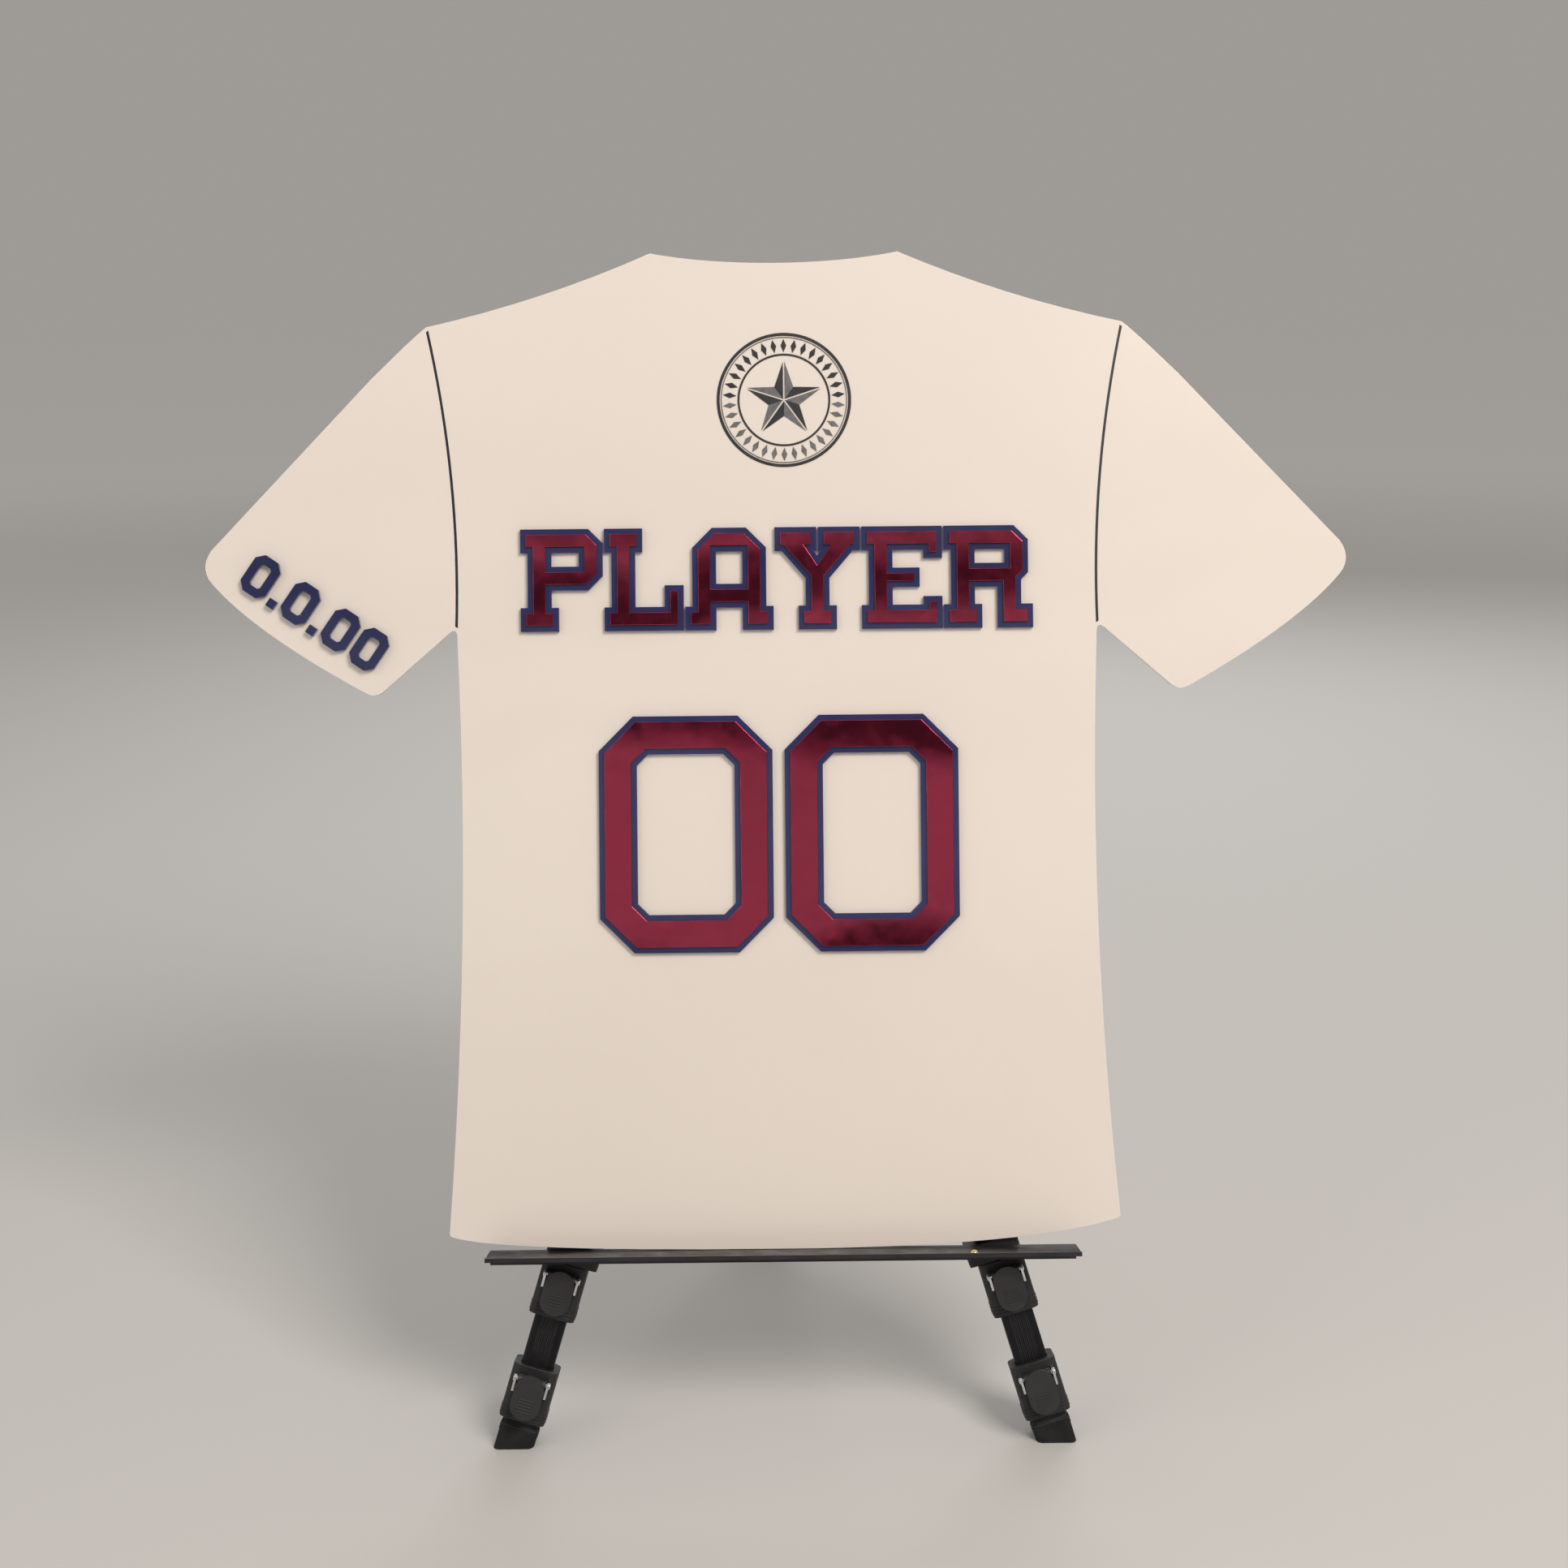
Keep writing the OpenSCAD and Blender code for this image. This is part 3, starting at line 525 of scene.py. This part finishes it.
def petal_arc_tree(material):
    """Flat pointed petals along an arc in the xy plane, each pointing outwards."""
    tree = Tree("petal_arc", material, {
        "count": ("NodeSocketInt", 12), "arc radius": ("NodeSocketFloat", 0.03),
        "start": ("NodeSocketFloat", 0.0), "sweep": ("NodeSocketFloat", math.pi),
        "length": ("NodeSocketFloat", 0.004), "thickness": ("NodeSocketFloat", 0.0003)})
    arc = tree.add("GeometryNodeCurveArc", mode="RADIUS")
    tree.wire(tree.given("count"), arc.inputs["Resolution"])
    tree.wire(tree.given("arc radius"), arc.inputs["Radius"])
    tree.wire(tree.given("start"), arc.inputs["Start Angle"])
    tree.wire(tree.given("sweep"), arc.inputs["Sweep Angle"])
    points = tree.add("GeometryNodeCurveToPoints", mode="EVALUATED")
    tree.wire(arc.outputs["Curve"], points.inputs["Curve"])
    petal = tree.add("GeometryNodeMeshCylinder")
    petal.inputs["Vertices"].default_value = 4
    tree.wire(tree.given("length"), petal.inputs["Radius"])
    tree.wire(tree.given("thickness"), petal.inputs["Depth"])
    slim = tree.add("GeometryNodeTransform")
    slim.inputs["Scale"].default_value = (1.0, 0.42, 1.0)
    tree.wire(petal.outputs["Mesh"], slim.inputs["Geometry"])
    where = tree.add("GeometryNodeInputPosition")
    aim = tree.add("FunctionNodeAlignRotationToVector", axis="X")
    tree.wire(where.outputs["Position"], aim.inputs["Vector"])
    place_all = tree.add("GeometryNodeInstanceOnPoints")
    tree.wire(points.outputs["Points"], place_all.inputs["Points"])
    tree.wire(slim.outputs["Geometry"], place_all.inputs["Instance"])
    tree.wire(aim.outputs["Rotation"], place_all.inputs["Rotation"])
    tree.finish(place_all.outputs["Instances"])
    return tree


# ------------------------------------------------------------------ drawn shapes

def prism(bm, outline, low, high, place_at):
    """A closed prism on an outline of (x, y) points, between two heights."""
    layers = []
    for height in (low, high):
        layers.append([bm.verts.new(place_at @ Vector((x, y, height))) for x, y in outline])
    bm.faces.new(list(reversed(layers[0])))
    bm.faces.new(layers[1])
    count = len(outline)
    for i in range(count):
        j = (i + 1) % count
        bm.faces.new((layers[0][i], layers[0][j], layers[1][j], layers[1][i]))


def ring_prism(bm, inner, outer, low, high, place_at, steps=96):
    """A closed flat ring."""
    loops = []
    for radius, height in ((inner, low), (outer, low), (outer, high), (inner, high)):
        loops.append([bm.verts.new(place_at @ Vector((radius * math.cos(turn), radius * math.sin(turn),
                                                      height)))
                      for turn in (math.tau * i / steps for i in range(steps))])
    for k in range(4):
        first, second = loops[k], loops[(k + 1) % 4]
        for i in range(steps):
            j = (i + 1) % steps
            bm.faces.new((first[i], first[j], second[j], second[i]))


def lathe(bm, profile, place_at, steps=32):
    """A turned shape on a profile of (radius, height) points that starts and ends on its axis."""
    poles = [bm.verts.new(place_at @ Vector((0, 0, profile[i][1]))) for i in (0, -1)]
    rings = []
    for radius, height in profile[1:-1]:
        rings.append([bm.verts.new(place_at @ Vector((radius * math.cos(turn), radius * math.sin(turn),
                                                      height)))
                      for turn in (math.tau * i / steps for i in range(steps))])
    for i in range(steps):
        j = (i + 1) % steps
        bm.faces.new((poles[0], rings[0][j], rings[0][i]))
        bm.faces.new((poles[1], rings[-1][i], rings[-1][j]))
        for first, second in zip(rings, rings[1:]):
            bm.faces.new((first[i], first[j], second[j], second[i]))


def dome(radius, height, rim, steps=6):
    """Profile of a domed head with a short straight rim, from its flat side up."""
    profile = [(0, 0), (radius, 0), (radius, rim)]
    for i in range(1, steps):
        turn = math.pi / 2 * i / steps
        profile.append((radius * math.cos(turn), rim + (height - rim) * math.sin(turn)))
    return profile + [(0, height)]


def piece(name, bm, finish, body, slot, *nodes, angle=35.0):
    """A drawn shape as a finished piece on its body."""
    bmesh.ops.recalc_face_normals(bm, faces=bm.faces)
    obj = new_object(name, mesh_from(name, bm))
    smooth(obj.data, angle)
    paint(obj, MATERIALS[finish])
    return hold(obj, body, slot, *nodes)


# ------------------------------------------------------------------ places on the sheet and the easel

def span(node, axis):
    """Lowest and highest reach of a CAD node along a direction."""
    reach = [vertex.co.dot(axis) for vertex in frame["nodes"][node].data.vertices]
    return min(reach), max(reach)


def middle(node, axis):
    return sum(span(node, axis)) / 2


def width_of(node, axis):
    low, high = span(node, axis)
    return high - low


def axes_of(place_at):
    """The three directions of a matrix made by basis()."""
    return [place_at.to_3x3().col[i].copy() for i in range(3)]


def sheet_point(across, depth, up):
    return RIGHT * across + BACK * depth + UP * up


def facing_front(across, depth, up):
    """A drawing plane on the sheet: x to the right, y up and z out of its front."""
    return basis(RIGHT, UP, -BACK, sheet_point(across, depth, up))


# ------------------------------------------------------------------ settings

class JerseySignSettings(bpy.types.PropertyGroup):
    panel_colour: bpy.props.FloatVectorProperty(
        name="Panel colour", description="Colour of the cast acrylic sheet",
        subtype="COLOR", default=(0.80, 0.725, 0.655), min=0, max=1)
    base_colour: bpy.props.FloatVectorProperty(
        name="Lower layer", description="Colour of the lower layer of the name and number",
        subtype="COLOR", default=(0.018, 0.020, 0.098), min=0, max=1)
    mirror_colour: bpy.props.FloatVectorProperty(
        name="Mirror layer", description="Tint of the mirrored upper layer",
        subtype="COLOR", default=(0.375, 0.032, 0.075), min=0, max=1)
    date_colour: bpy.props.FloatVectorProperty(
        name="Date colour", description="Colour of the small digits on the sleeve",
        subtype="COLOR", default=(0.012, 0.017, 0.075), min=0, max=1)
    print_colour: bpy.props.FloatVectorProperty(
        name="Print", description="Dark ink of the badge and the seams",
        subtype="COLOR", default=(0.012, 0.012, 0.014), min=0, max=1)
    grey_colour: bpy.props.FloatVectorProperty(
        name="Second print", description="Grey ink of the badge",
        subtype="COLOR", default=(0.12, 0.12, 0.125), min=0, max=1)
    metal_colour: bpy.props.FloatVectorProperty(
        name="Metal", description="Black finish of the tubes and the ledge",
        subtype="COLOR", default=(0.016, 0.016, 0.018), min=0, max=1)
    plastic_colour: bpy.props.FloatVectorProperty(
        name="Plastic", description="Moulded plastic of the collars, the hub and the feet",
        subtype="COLOR", default=(0.013, 0.013, 0.014), min=0, max=1)
    sheet_edge: bpy.props.FloatProperty(
        name="Sheet edge", description="Rounding of the panel's polished edge",
        unit="LENGTH", default=0.0006, min=0.0002, max=0.001)
    letter_edge: bpy.props.FloatProperty(
        name="Letter edge", description="Rounding of the laser-cut letters",
        unit="LENGTH", default=0.00025, min=0.0001, max=0.0005)
    plastic_edge: bpy.props.FloatProperty(
        name="Plastic edge", description="Rounding of the moulded pieces",
        unit="LENGTH", default=0.0008, min=0.0002, max=0.0012)
    tube_edge: bpy.props.FloatProperty(
        name="Tube edge", description="Rounding of the tubes and their flutes",
        unit="LENGTH", default=0.00015, min=0.00005, max=0.0003)
    grip_ribs: bpy.props.IntProperty(
        name="Grip ribs", description="Number of ribs on a lever's grip", default=5, min=2, max=7)
    badge_petals: bpy.props.IntProperty(
        name="Badge petals", description="Number of petals in each half of the badge",
        default=17, min=9, max=25)
    camera_distance: bpy.props.FloatProperty(
        name="Camera distance", description="From the camera to the sheet",
        unit="LENGTH", default=1.41, min=1.0, max=4.0)
    lens: bpy.props.FloatProperty(
        name="Lens", description="Focal length in millimetres", default=48.45, min=24, max=120)


# ------------------------------------------------------------------ stage

def soft_light(name, where, aim, size, power, colour):
    lamp = bpy.data.lights.new(name, "AREA")
    lamp.shape = "RECTANGLE"
    lamp.size, lamp.size_y = size
    lamp.energy = power
    lamp.color = colour
    obj = link(bpy.data.objects.new(name, lamp))
    obj.location = where
    obj.rotation_euler = (Vector(aim) - Vector(where)).to_track_quat("-Z", "Y").to_euler()
    obj.visible_camera = False
    return obj


def room_light(plain, far_floor, bright, dim):
    """An even pale room; only reflections show the wavering bright and dim bands of its walls."""
    world = bpy.data.worlds.new("studio")
    world.use_nodes = True
    nodes, links = world.node_tree.nodes, world.node_tree.links
    coords = nodes.new("ShaderNodeTexCoord")
    split = nodes.new("ShaderNodeSeparateXYZ")
    links.new(coords.outputs["Generated"], split.inputs["Vector"])
    stretch = nodes.new("ShaderNodeMapping")
    stretch.inputs["Scale"].default_value = (4.5, 4.5, 5.0)
    links.new(coords.outputs["Generated"], stretch.inputs["Vector"])
    waver = nodes.new("ShaderNodeTexNoise")
    waver.inputs["Scale"].default_value = 2.5
    waver.inputs["Detail"].default_value = 1.0
    links.new(stretch.outputs["Vector"], waver.inputs["Vector"])
    shift = nodes.new("ShaderNodeMath")
    shift.operation = "MULTIPLY_ADD"
    shift.inputs[1].default_value = 0.07
    links.new(waver.outputs["Fac"], shift.inputs[0])
    links.new(split.outputs["Z"], shift.inputs[2])
    ramp = nodes.new("ShaderNodeValToRGB")
    # Low bands show in the number and high ones in the name
    stops = ((0.0, dim), (0.209, dim), (0.214, bright), (0.298, bright), (0.303, dim),
             (0.325, dim), (0.33, bright), (0.352, bright), (0.358, dim), (0.378, dim),
             (0.388, bright), (0.41, dim), (0.46, bright))
    while len(ramp.color_ramp.elements) < len(stops):
        ramp.color_ramp.elements.new(0.5)
    for element, (position, colour) in zip(ramp.color_ramp.elements, stops):
        element.position = position
        element.color = (*colour, 1.0)
    links.new(shift.outputs["Value"], ramp.inputs["Fac"])
    path = nodes.new("ShaderNodeLightPath")
    seen = choose(nodes, links, path.outputs["Is Camera Ray"], plain, far_floor)
    mirrored = choose(nodes, links, path.outputs["Is Glossy Ray"], seen, ramp.outputs["Color"])
    links.new(mirrored, nodes["Background"].inputs["Color"])
    bpy.context.scene.world = world


class JERSEY_OT_stage(bpy.types.Operator):
    """Pale floor, soft lights and the camera"""
    bl_idname = "jersey.stage"
    bl_label = "Stage"

    def execute(self, context):
        s = settings()
        half_width = 30.0
        bm = bmesh.new()
        bmesh.ops.create_grid(bm, x_segments=8, y_segments=8, size=half_width)
        floor = new_object("studio_floor", mesh_from("studio_floor", bm))
        paint(floor, painted_floor((0.56, 0.545, 0.525), (0.80, 0.78, 0.755)))
        room_light((0.43, 0.418, 0.405), (0.344, 0.326, 0.306), (0.62, 0.60, 0.58), (0.10, 0.09, 0.1))
        soft_light("key_light", (1.4, -2.0, 2.6), (0.05, -0.05, 0.45), (1.3, 1.3), 71, (1, 0.93, 0.86))
        soft_light("fill_light", (-2.4, -1.6, 1.6), (0, 0, 0.4), (2.2, 2.2), 16, (1, 0.96, 0.93))
        soft_light("back_light", (0.6, 2.8, 2.2), (0, 0.1, 0.4), (2.0, 1.6), 36, (0.95, 0.97, 1))
        self.camera(s)
        context.scene.view_settings.view_transform = "Standard"
        return {"FINISHED"}

    def camera(self, s):
        yaw, pitch, roll = math.radians(0.341), math.radians(13.499), math.radians(-0.491)
        forward = Vector((math.sin(yaw) * math.cos(pitch), math.cos(yaw) * math.cos(pitch),
                          -math.sin(pitch)))
        side = Vector((math.cos(yaw), -math.sin(yaw), 0))
        up = side.cross(forward)
        right = side * math.cos(roll) + up * math.sin(roll)
        top = -side * math.sin(roll) + up * math.cos(roll)
        across = 0.0035
        below_top = 0.356
        front, top_edge = span("jersey_panel", BACK)[0], span("jersey_panel", UP)[1]
        target = sheet_point(across, front, top_edge - below_top)
        lens = bpy.data.cameras.new("camera")
        lens.sensor_width = SENSOR
        lens.lens = s.lens
        lens.clip_start = 0.01
        camera = link(bpy.data.objects.new("camera", lens))
        camera.matrix_world = basis(right, top, -forward, target - forward * s.camera_distance)
        bpy.context.scene.camera = camera


# ------------------------------------------------------------------ sheet and lettering

class JERSEY_OT_panel(bpy.types.Operator):
    """The jersey-shaped sheet with its engraved, painted seams"""
    bl_idname = "jersey.panel"
    bl_label = "Panel"

    def execute(self, context):
        bevelled_copy("jersey_panel", settings().sheet_edge, "white_acrylic", segments=3)
        paint(frame["nodes"]["seam_paint"], MATERIALS["seam_paint"])
        return {"FINISHED"}


class JERSEY_OT_lettering(bpy.types.Operator):
    """Both layers of the name and the number, and the small digits"""
    bl_idname = "jersey.lettering"
    bl_label = "Lettering"

    def execute(self, context):
        edge = settings().letter_edge
        for node, finish in (("name_base", "blue_acrylic"), ("name_face", "red_mirror_acrylic"),
                             ("number_base", "blue_acrylic"), ("number_face", "red_mirror_acrylic"),
                             ("date_digits", "navy_acrylic")):
            bevelled_copy(node, edge, finish)
        return {"FINISHED"}


class JERSEY_OT_badge(bpy.types.Operator):
    """A plain printed badge: a faceted star inside rings and a wreath of petals"""
    bl_idname = "jersey.badge"
    bl_label = "Badge"

    def execute(self, context):
        radius = width_of("emblem_print", RIGHT) / 2
        thick = width_of("emblem_print", BACK)
        centre = facing_front(middle("emblem_print", RIGHT), span("emblem_print", BACK)[1],
                              middle("emblem_print", UP))
        dark, grey = bmesh.new(), bmesh.new()
        ring_prism(dark, radius * 0.955, radius, 0, thick, centre)
        ring_prism(grey, radius * 0.925, radius * 0.94, 0, thick, centre)
        ring_prism(dark, radius * 0.66, radius * 0.69, 0, thick, centre)
        self.star(dark, grey, radius * 0.6, radius * 0.235, thick, centre)
        piece("badge_dark", dark, "badge_print", "panel", "badge_print", "emblem_print")
        piece("badge_grey", grey, "badge_grey", "panel", "badge_print", "emblem_print")
        for name, finish, start in (("badge_petals_upper", "badge_print", 0.0),
                                    ("badge_petals_lower", "badge_grey", math.pi)):
            step = math.pi / settings().badge_petals
            petals = petal_arc_tree(MATERIALS[finish]).mesh(
                name, centre @ Matrix.Translation((0, 0, thick / 2)),
                count=settings().badge_petals, arc_radius=radius * 0.81, start=start + step / 2,
                sweep=math.pi - step, length=radius * 0.1, thickness=thick)
            hold(petals, "panel", "badge_print", "emblem_print")
        return {"FINISHED"}

    def star(self, dark, grey, tip, notch, thick, centre):
        """Five points, each split down its middle into a dark and an open or grey half."""
        gap = tip * 0.018
        for i in range(5):
            turn = math.pi / 2 + math.tau * i / 5
            for side, bm in ((1, dark), (-1, grey)):
                away = turn + side * math.pi / 5
                along = Vector((math.cos(turn), math.sin(turn)))
                off = Vector((-math.sin(turn), math.cos(turn))) * side * gap
                corner = Vector((math.cos(away), math.sin(away))) * notch
                outline = [off + along * gap, off + along * (tip - 3 * gap), corner + off * 0.4]
                prism(bm, outline if side > 0 else outline[::-1], 0, thick, centre)


# ------------------------------------------------------------------ easel

class JERSEY_OT_tubes(bpy.types.Operator):
    """Fluted telescopic tubes, their solid ends and their inner glides"""
    bl_idname = "jersey.tubes"
    bl_label = "Leg tubes"

    def execute(self, context):
        s = settings()
        for leg in LEGS:
            for part in ("outer", "middle", "inner"):
                bevelled_copy(f"{leg}_{part}_tube", s.tube_edge, "black_aluminium", angle=25)
            for part in ("middle", "inner"):
                bevelled_copy(f"{leg}_{part}_glide", s.tube_edge * 2, "glide_plastic")
            bevelled_copy(leg + "_knuckle", s.plastic_edge * 0.7, "collar_plastic")
        return {"FINISHED"}


class JERSEY_OT_collars(bpy.types.Operator):
    """Lock collars with the raised bands of their moulding"""
    bl_idname = "jersey.collars"
    bl_label = "Lock collars"

    def execute(self, context):
        s = settings()
        tree = band_tree(MATERIALS["collar_plastic"])
        for leg in LEGS:
            along = -axis_of(leg + "_middle_slide")
            for level in ("upper", "lower"):
                node = f"{leg}_{level}_collar"
                bevelled_copy(node, s.plastic_edge, "collar_plastic", segments=3)
                self.bands(tree, node, lever_basis(f"{leg}_{level}_lever_flip", along))
        return {"FINISHED"}

    def bands(self, tree, node, pin):
        side, depth, up = axes_of(pin)
        step = 2.4 * MM
        lowest = side * middle(node, side) + depth * middle(node, depth) + up * (span(node, up)[0] + step)
        bands = tree.mesh(node + "_bands", basis(side, depth, up, lowest), count=3, step=step,
                          width=width_of(node, side), depth=width_of(node, depth), corner=5 * MM,
                          radius=0.45 * MM)
        smooth(bands.data, 60)
        hold(bands, body_holding(node), "collar_plastic")


class JERSEY_OT_levers(bpy.types.Operator):
    """Flip levers, each with a ribbed grip"""
    bl_idname = "jersey.levers"
    bl_label = "Flip levers"

    def execute(self, context):
        s = settings()
        tree = rib_row_tree(MATERIALS["lever_plastic"])
        for body, _, node, pin in locks():
            bevelled_copy(node, s.plastic_edge, "lever_plastic", segments=3)
            up = pin.to_3x3() @ Vector((0, 0, 1))
            out = pin.to_3x3() @ Vector((0, -1, 0))
            low = span(node, up)[0] - pin.translation.dot(up)
            face = span(node, out)[1] - pin.translation.dot(out)
            first_rib = pin @ Matrix.Translation((0, -face, low + 5.2 * MM))
            ribs = tree.mesh(node + "_grip", first_rib, count=s.grip_ribs, step=2.1 * MM,
                             length=10.5 * MM, radius=0.5 * MM)
            smooth(ribs.data, 50)
            hold(ribs, body, "lever_plastic")
        return {"FINISHED"}


class JERSEY_OT_hardware(bpy.types.Operator):
    """Plated ears and rivets of the locks"""
    bl_idname = "jersey.hardware"
    bl_label = "Lock hardware"

    def execute(self, context):
        head = dome(2.3 * MM, 1.0 * MM, 0.3 * MM)
        sunk = 0.6 * MM
        for _, holder, node, pin in locks():
            metal = node.replace("lever", "hardware")
            bevelled_copy(metal, 0.25 * MM, "chrome_hardware")
            side = pin.to_3x3() @ Vector((1, 0, 0))
            reach = span(metal, side)[1] - pin.translation.dot(side)
            heads = bmesh.new()
            for turn in (1, -1):
                aim = Matrix.Rotation(turn * math.pi / 2, 4, "Y")
                lathe(heads, head, pin @ aim @ Matrix.Translation((0, 0, reach - sunk)), 24)
            piece(metal + "_rivets", heads, "chrome_hardware", holder, "chrome_hardware")
        return {"FINISHED"}


class JERSEY_OT_feet(bpy.types.Operator):
    """Rubber feet with moulded grip bands"""
    bl_idname = "jersey.feet"
    bl_label = "Feet"

    def execute(self, context):
        s = settings()
        tree = band_tree(MATERIALS["foot_rubber"])
        for leg in LEGS:
            node = leg + "_foot"
            bevelled_copy(node, s.plastic_edge, "foot_rubber", segments=3)
            pin = lever_basis(leg + "_lower_lever_flip", -axis_of(leg + "_middle_slide"))
            side, depth, up = axes_of(pin)
            tube = leg + "_inner_tube"
            height = span(node, up)[1] - 8.2 * MM
            lowest = side * middle(tube, side) + depth * middle(tube, depth) + up * height
            bands = tree.mesh(node + "_bands", basis(side, depth, up, lowest), count=2, step=2.2 * MM,
                              width=width_of(tube, side) + 8 * MM,
                              depth=width_of(tube, depth) + 9 * MM, corner=4 * MM, radius=0.4 * MM)
            smooth(bands.data, 60)
            hold(bands, leg + "_lower_leg", "foot_rubber")
        return {"FINISHED"}


class JERSEY_OT_hub(bpy.types.Operator):
    """The hub that carries the three legs, with its riveted pins"""
    bl_idname = "jersey.hub"
    bl_label = "Hub"

    def execute(self, context):
        s = settings()
        bevelled_copy("hub", s.plastic_edge * 1.2, "collar_plastic", segments=3)
        bevelled_copy("hub_pins", 0.3 * MM, "chrome_hardware")
        heads = bmesh.new()
        for name in ("right_leg_fold", "left_leg_fold"):
            pivot = place(name)
            self.pair(heads, pivot, BACK, RIGHT, pivot.dot(BACK) - span("hub_pins", BACK)[0])
        pivot = place("rear_leg_fold")
        pin = [vert.co for vert in frame["nodes"]["hub_pins"].data.vertices
               if (vert.co - pivot).dot(BACK) > -5 * MM]
        self.pair(heads, pivot, RIGHT, UP, max(point.x for point in pin))
        piece("hub_rivets", heads, "chrome_hardware", "hub", "chrome_hardware")
        return {"FINISHED"}

    def pair(self, heads, pivot, pin, side, reach):
        """A domed head on each end of a pin that reaches equally far from its pivot."""
        for out in (pin, -pin):
            lathe(heads, dome(5.0 * MM, 1.9 * MM, 0.5 * MM),
                  basis(side, out.cross(side), out, pivot + out * reach))


class JERSEY_OT_mast(bpy.types.Operator):
    """The sliding mast with its clamp and knob"""
    bl_idname = "jersey.mast"
    bl_label = "Mast"

    def execute(self, context):
        s = settings()
        bevelled_copy("mast_tube", s.tube_edge * 1.5, "black_aluminium")
        bevelled_copy("mast_stop", 0.3 * MM, "glide_plastic")
        bevelled_copy("clamp_block", s.plastic_edge, "collar_plastic", segments=3)
        bevelled_copy("clamp_knob", s.plastic_edge * 0.7, "lever_plastic", segments=3)
        return {"FINISHED"}


class JERSEY_OT_ledge(bpy.types.Operator):
    """The folded ledge, its brass stud and pivot screw, and the two blocks that hold it"""
    bl_idname = "jersey.ledge"
    bl_label = "Ledge"

    def execute(self, context):
        s = settings()
        bevelled_copy("ledge_bar", 0.35 * MM, "ledge_paint")
        bevelled_copy("ledge_pivot_block", s.plastic_edge, "collar_plastic", segments=3)
        bevelled_copy("ledge_peg_block", s.plastic_edge, "collar_plastic", segments=3)
        for node in ("ledge_stud", "ledge_pivot_screw"):
            bevelled_copy(node, 0.2 * MM, "brass_screw")
        return {"FINISHED"}


class JERSEY_PT_panel(bpy.types.Panel):
    """Sizes, colours and the steps that build the sign"""
    bl_idname = "JERSEY_PT_panel"
    bl_label = "Jersey sign"
    bl_space_type = "VIEW_3D"
    bl_region_type = "UI"
    bl_category = "Jersey sign"

    def draw(self, context):
        for name in JerseySignSettings.__annotations__:
            self.layout.prop(settings(), name)
        for step in STEPS:
            self.layout.operator(step.bl_idname)


STEPS = (JERSEY_OT_stage, JERSEY_OT_panel, JERSEY_OT_lettering, JERSEY_OT_badge, JERSEY_OT_tubes,
         JERSEY_OT_collars, JERSEY_OT_levers, JERSEY_OT_hardware, JERSEY_OT_feet, JERSEY_OT_hub,
         JERSEY_OT_mast, JERSEY_OT_ledge)
CLASSES = (JerseySignSettings,) + STEPS + (JERSEY_PT_panel,)


def register():
    for cls in CLASSES:
        bpy.utils.register_class(cls)
    bpy.types.Scene.jersey_sign = bpy.props.PointerProperty(type=JerseySignSettings)


def unregister():
    del bpy.types.Scene.jersey_sign
    for cls in reversed(CLASSES):
        bpy.utils.unregister_class(cls)


def main():
    register()
    make_materials()
    for step in STEPS:
        group, name = step.bl_idname.split(".")
        getattr(getattr(bpy.ops, group), name)()


if __name__ == "__main__":
    main()
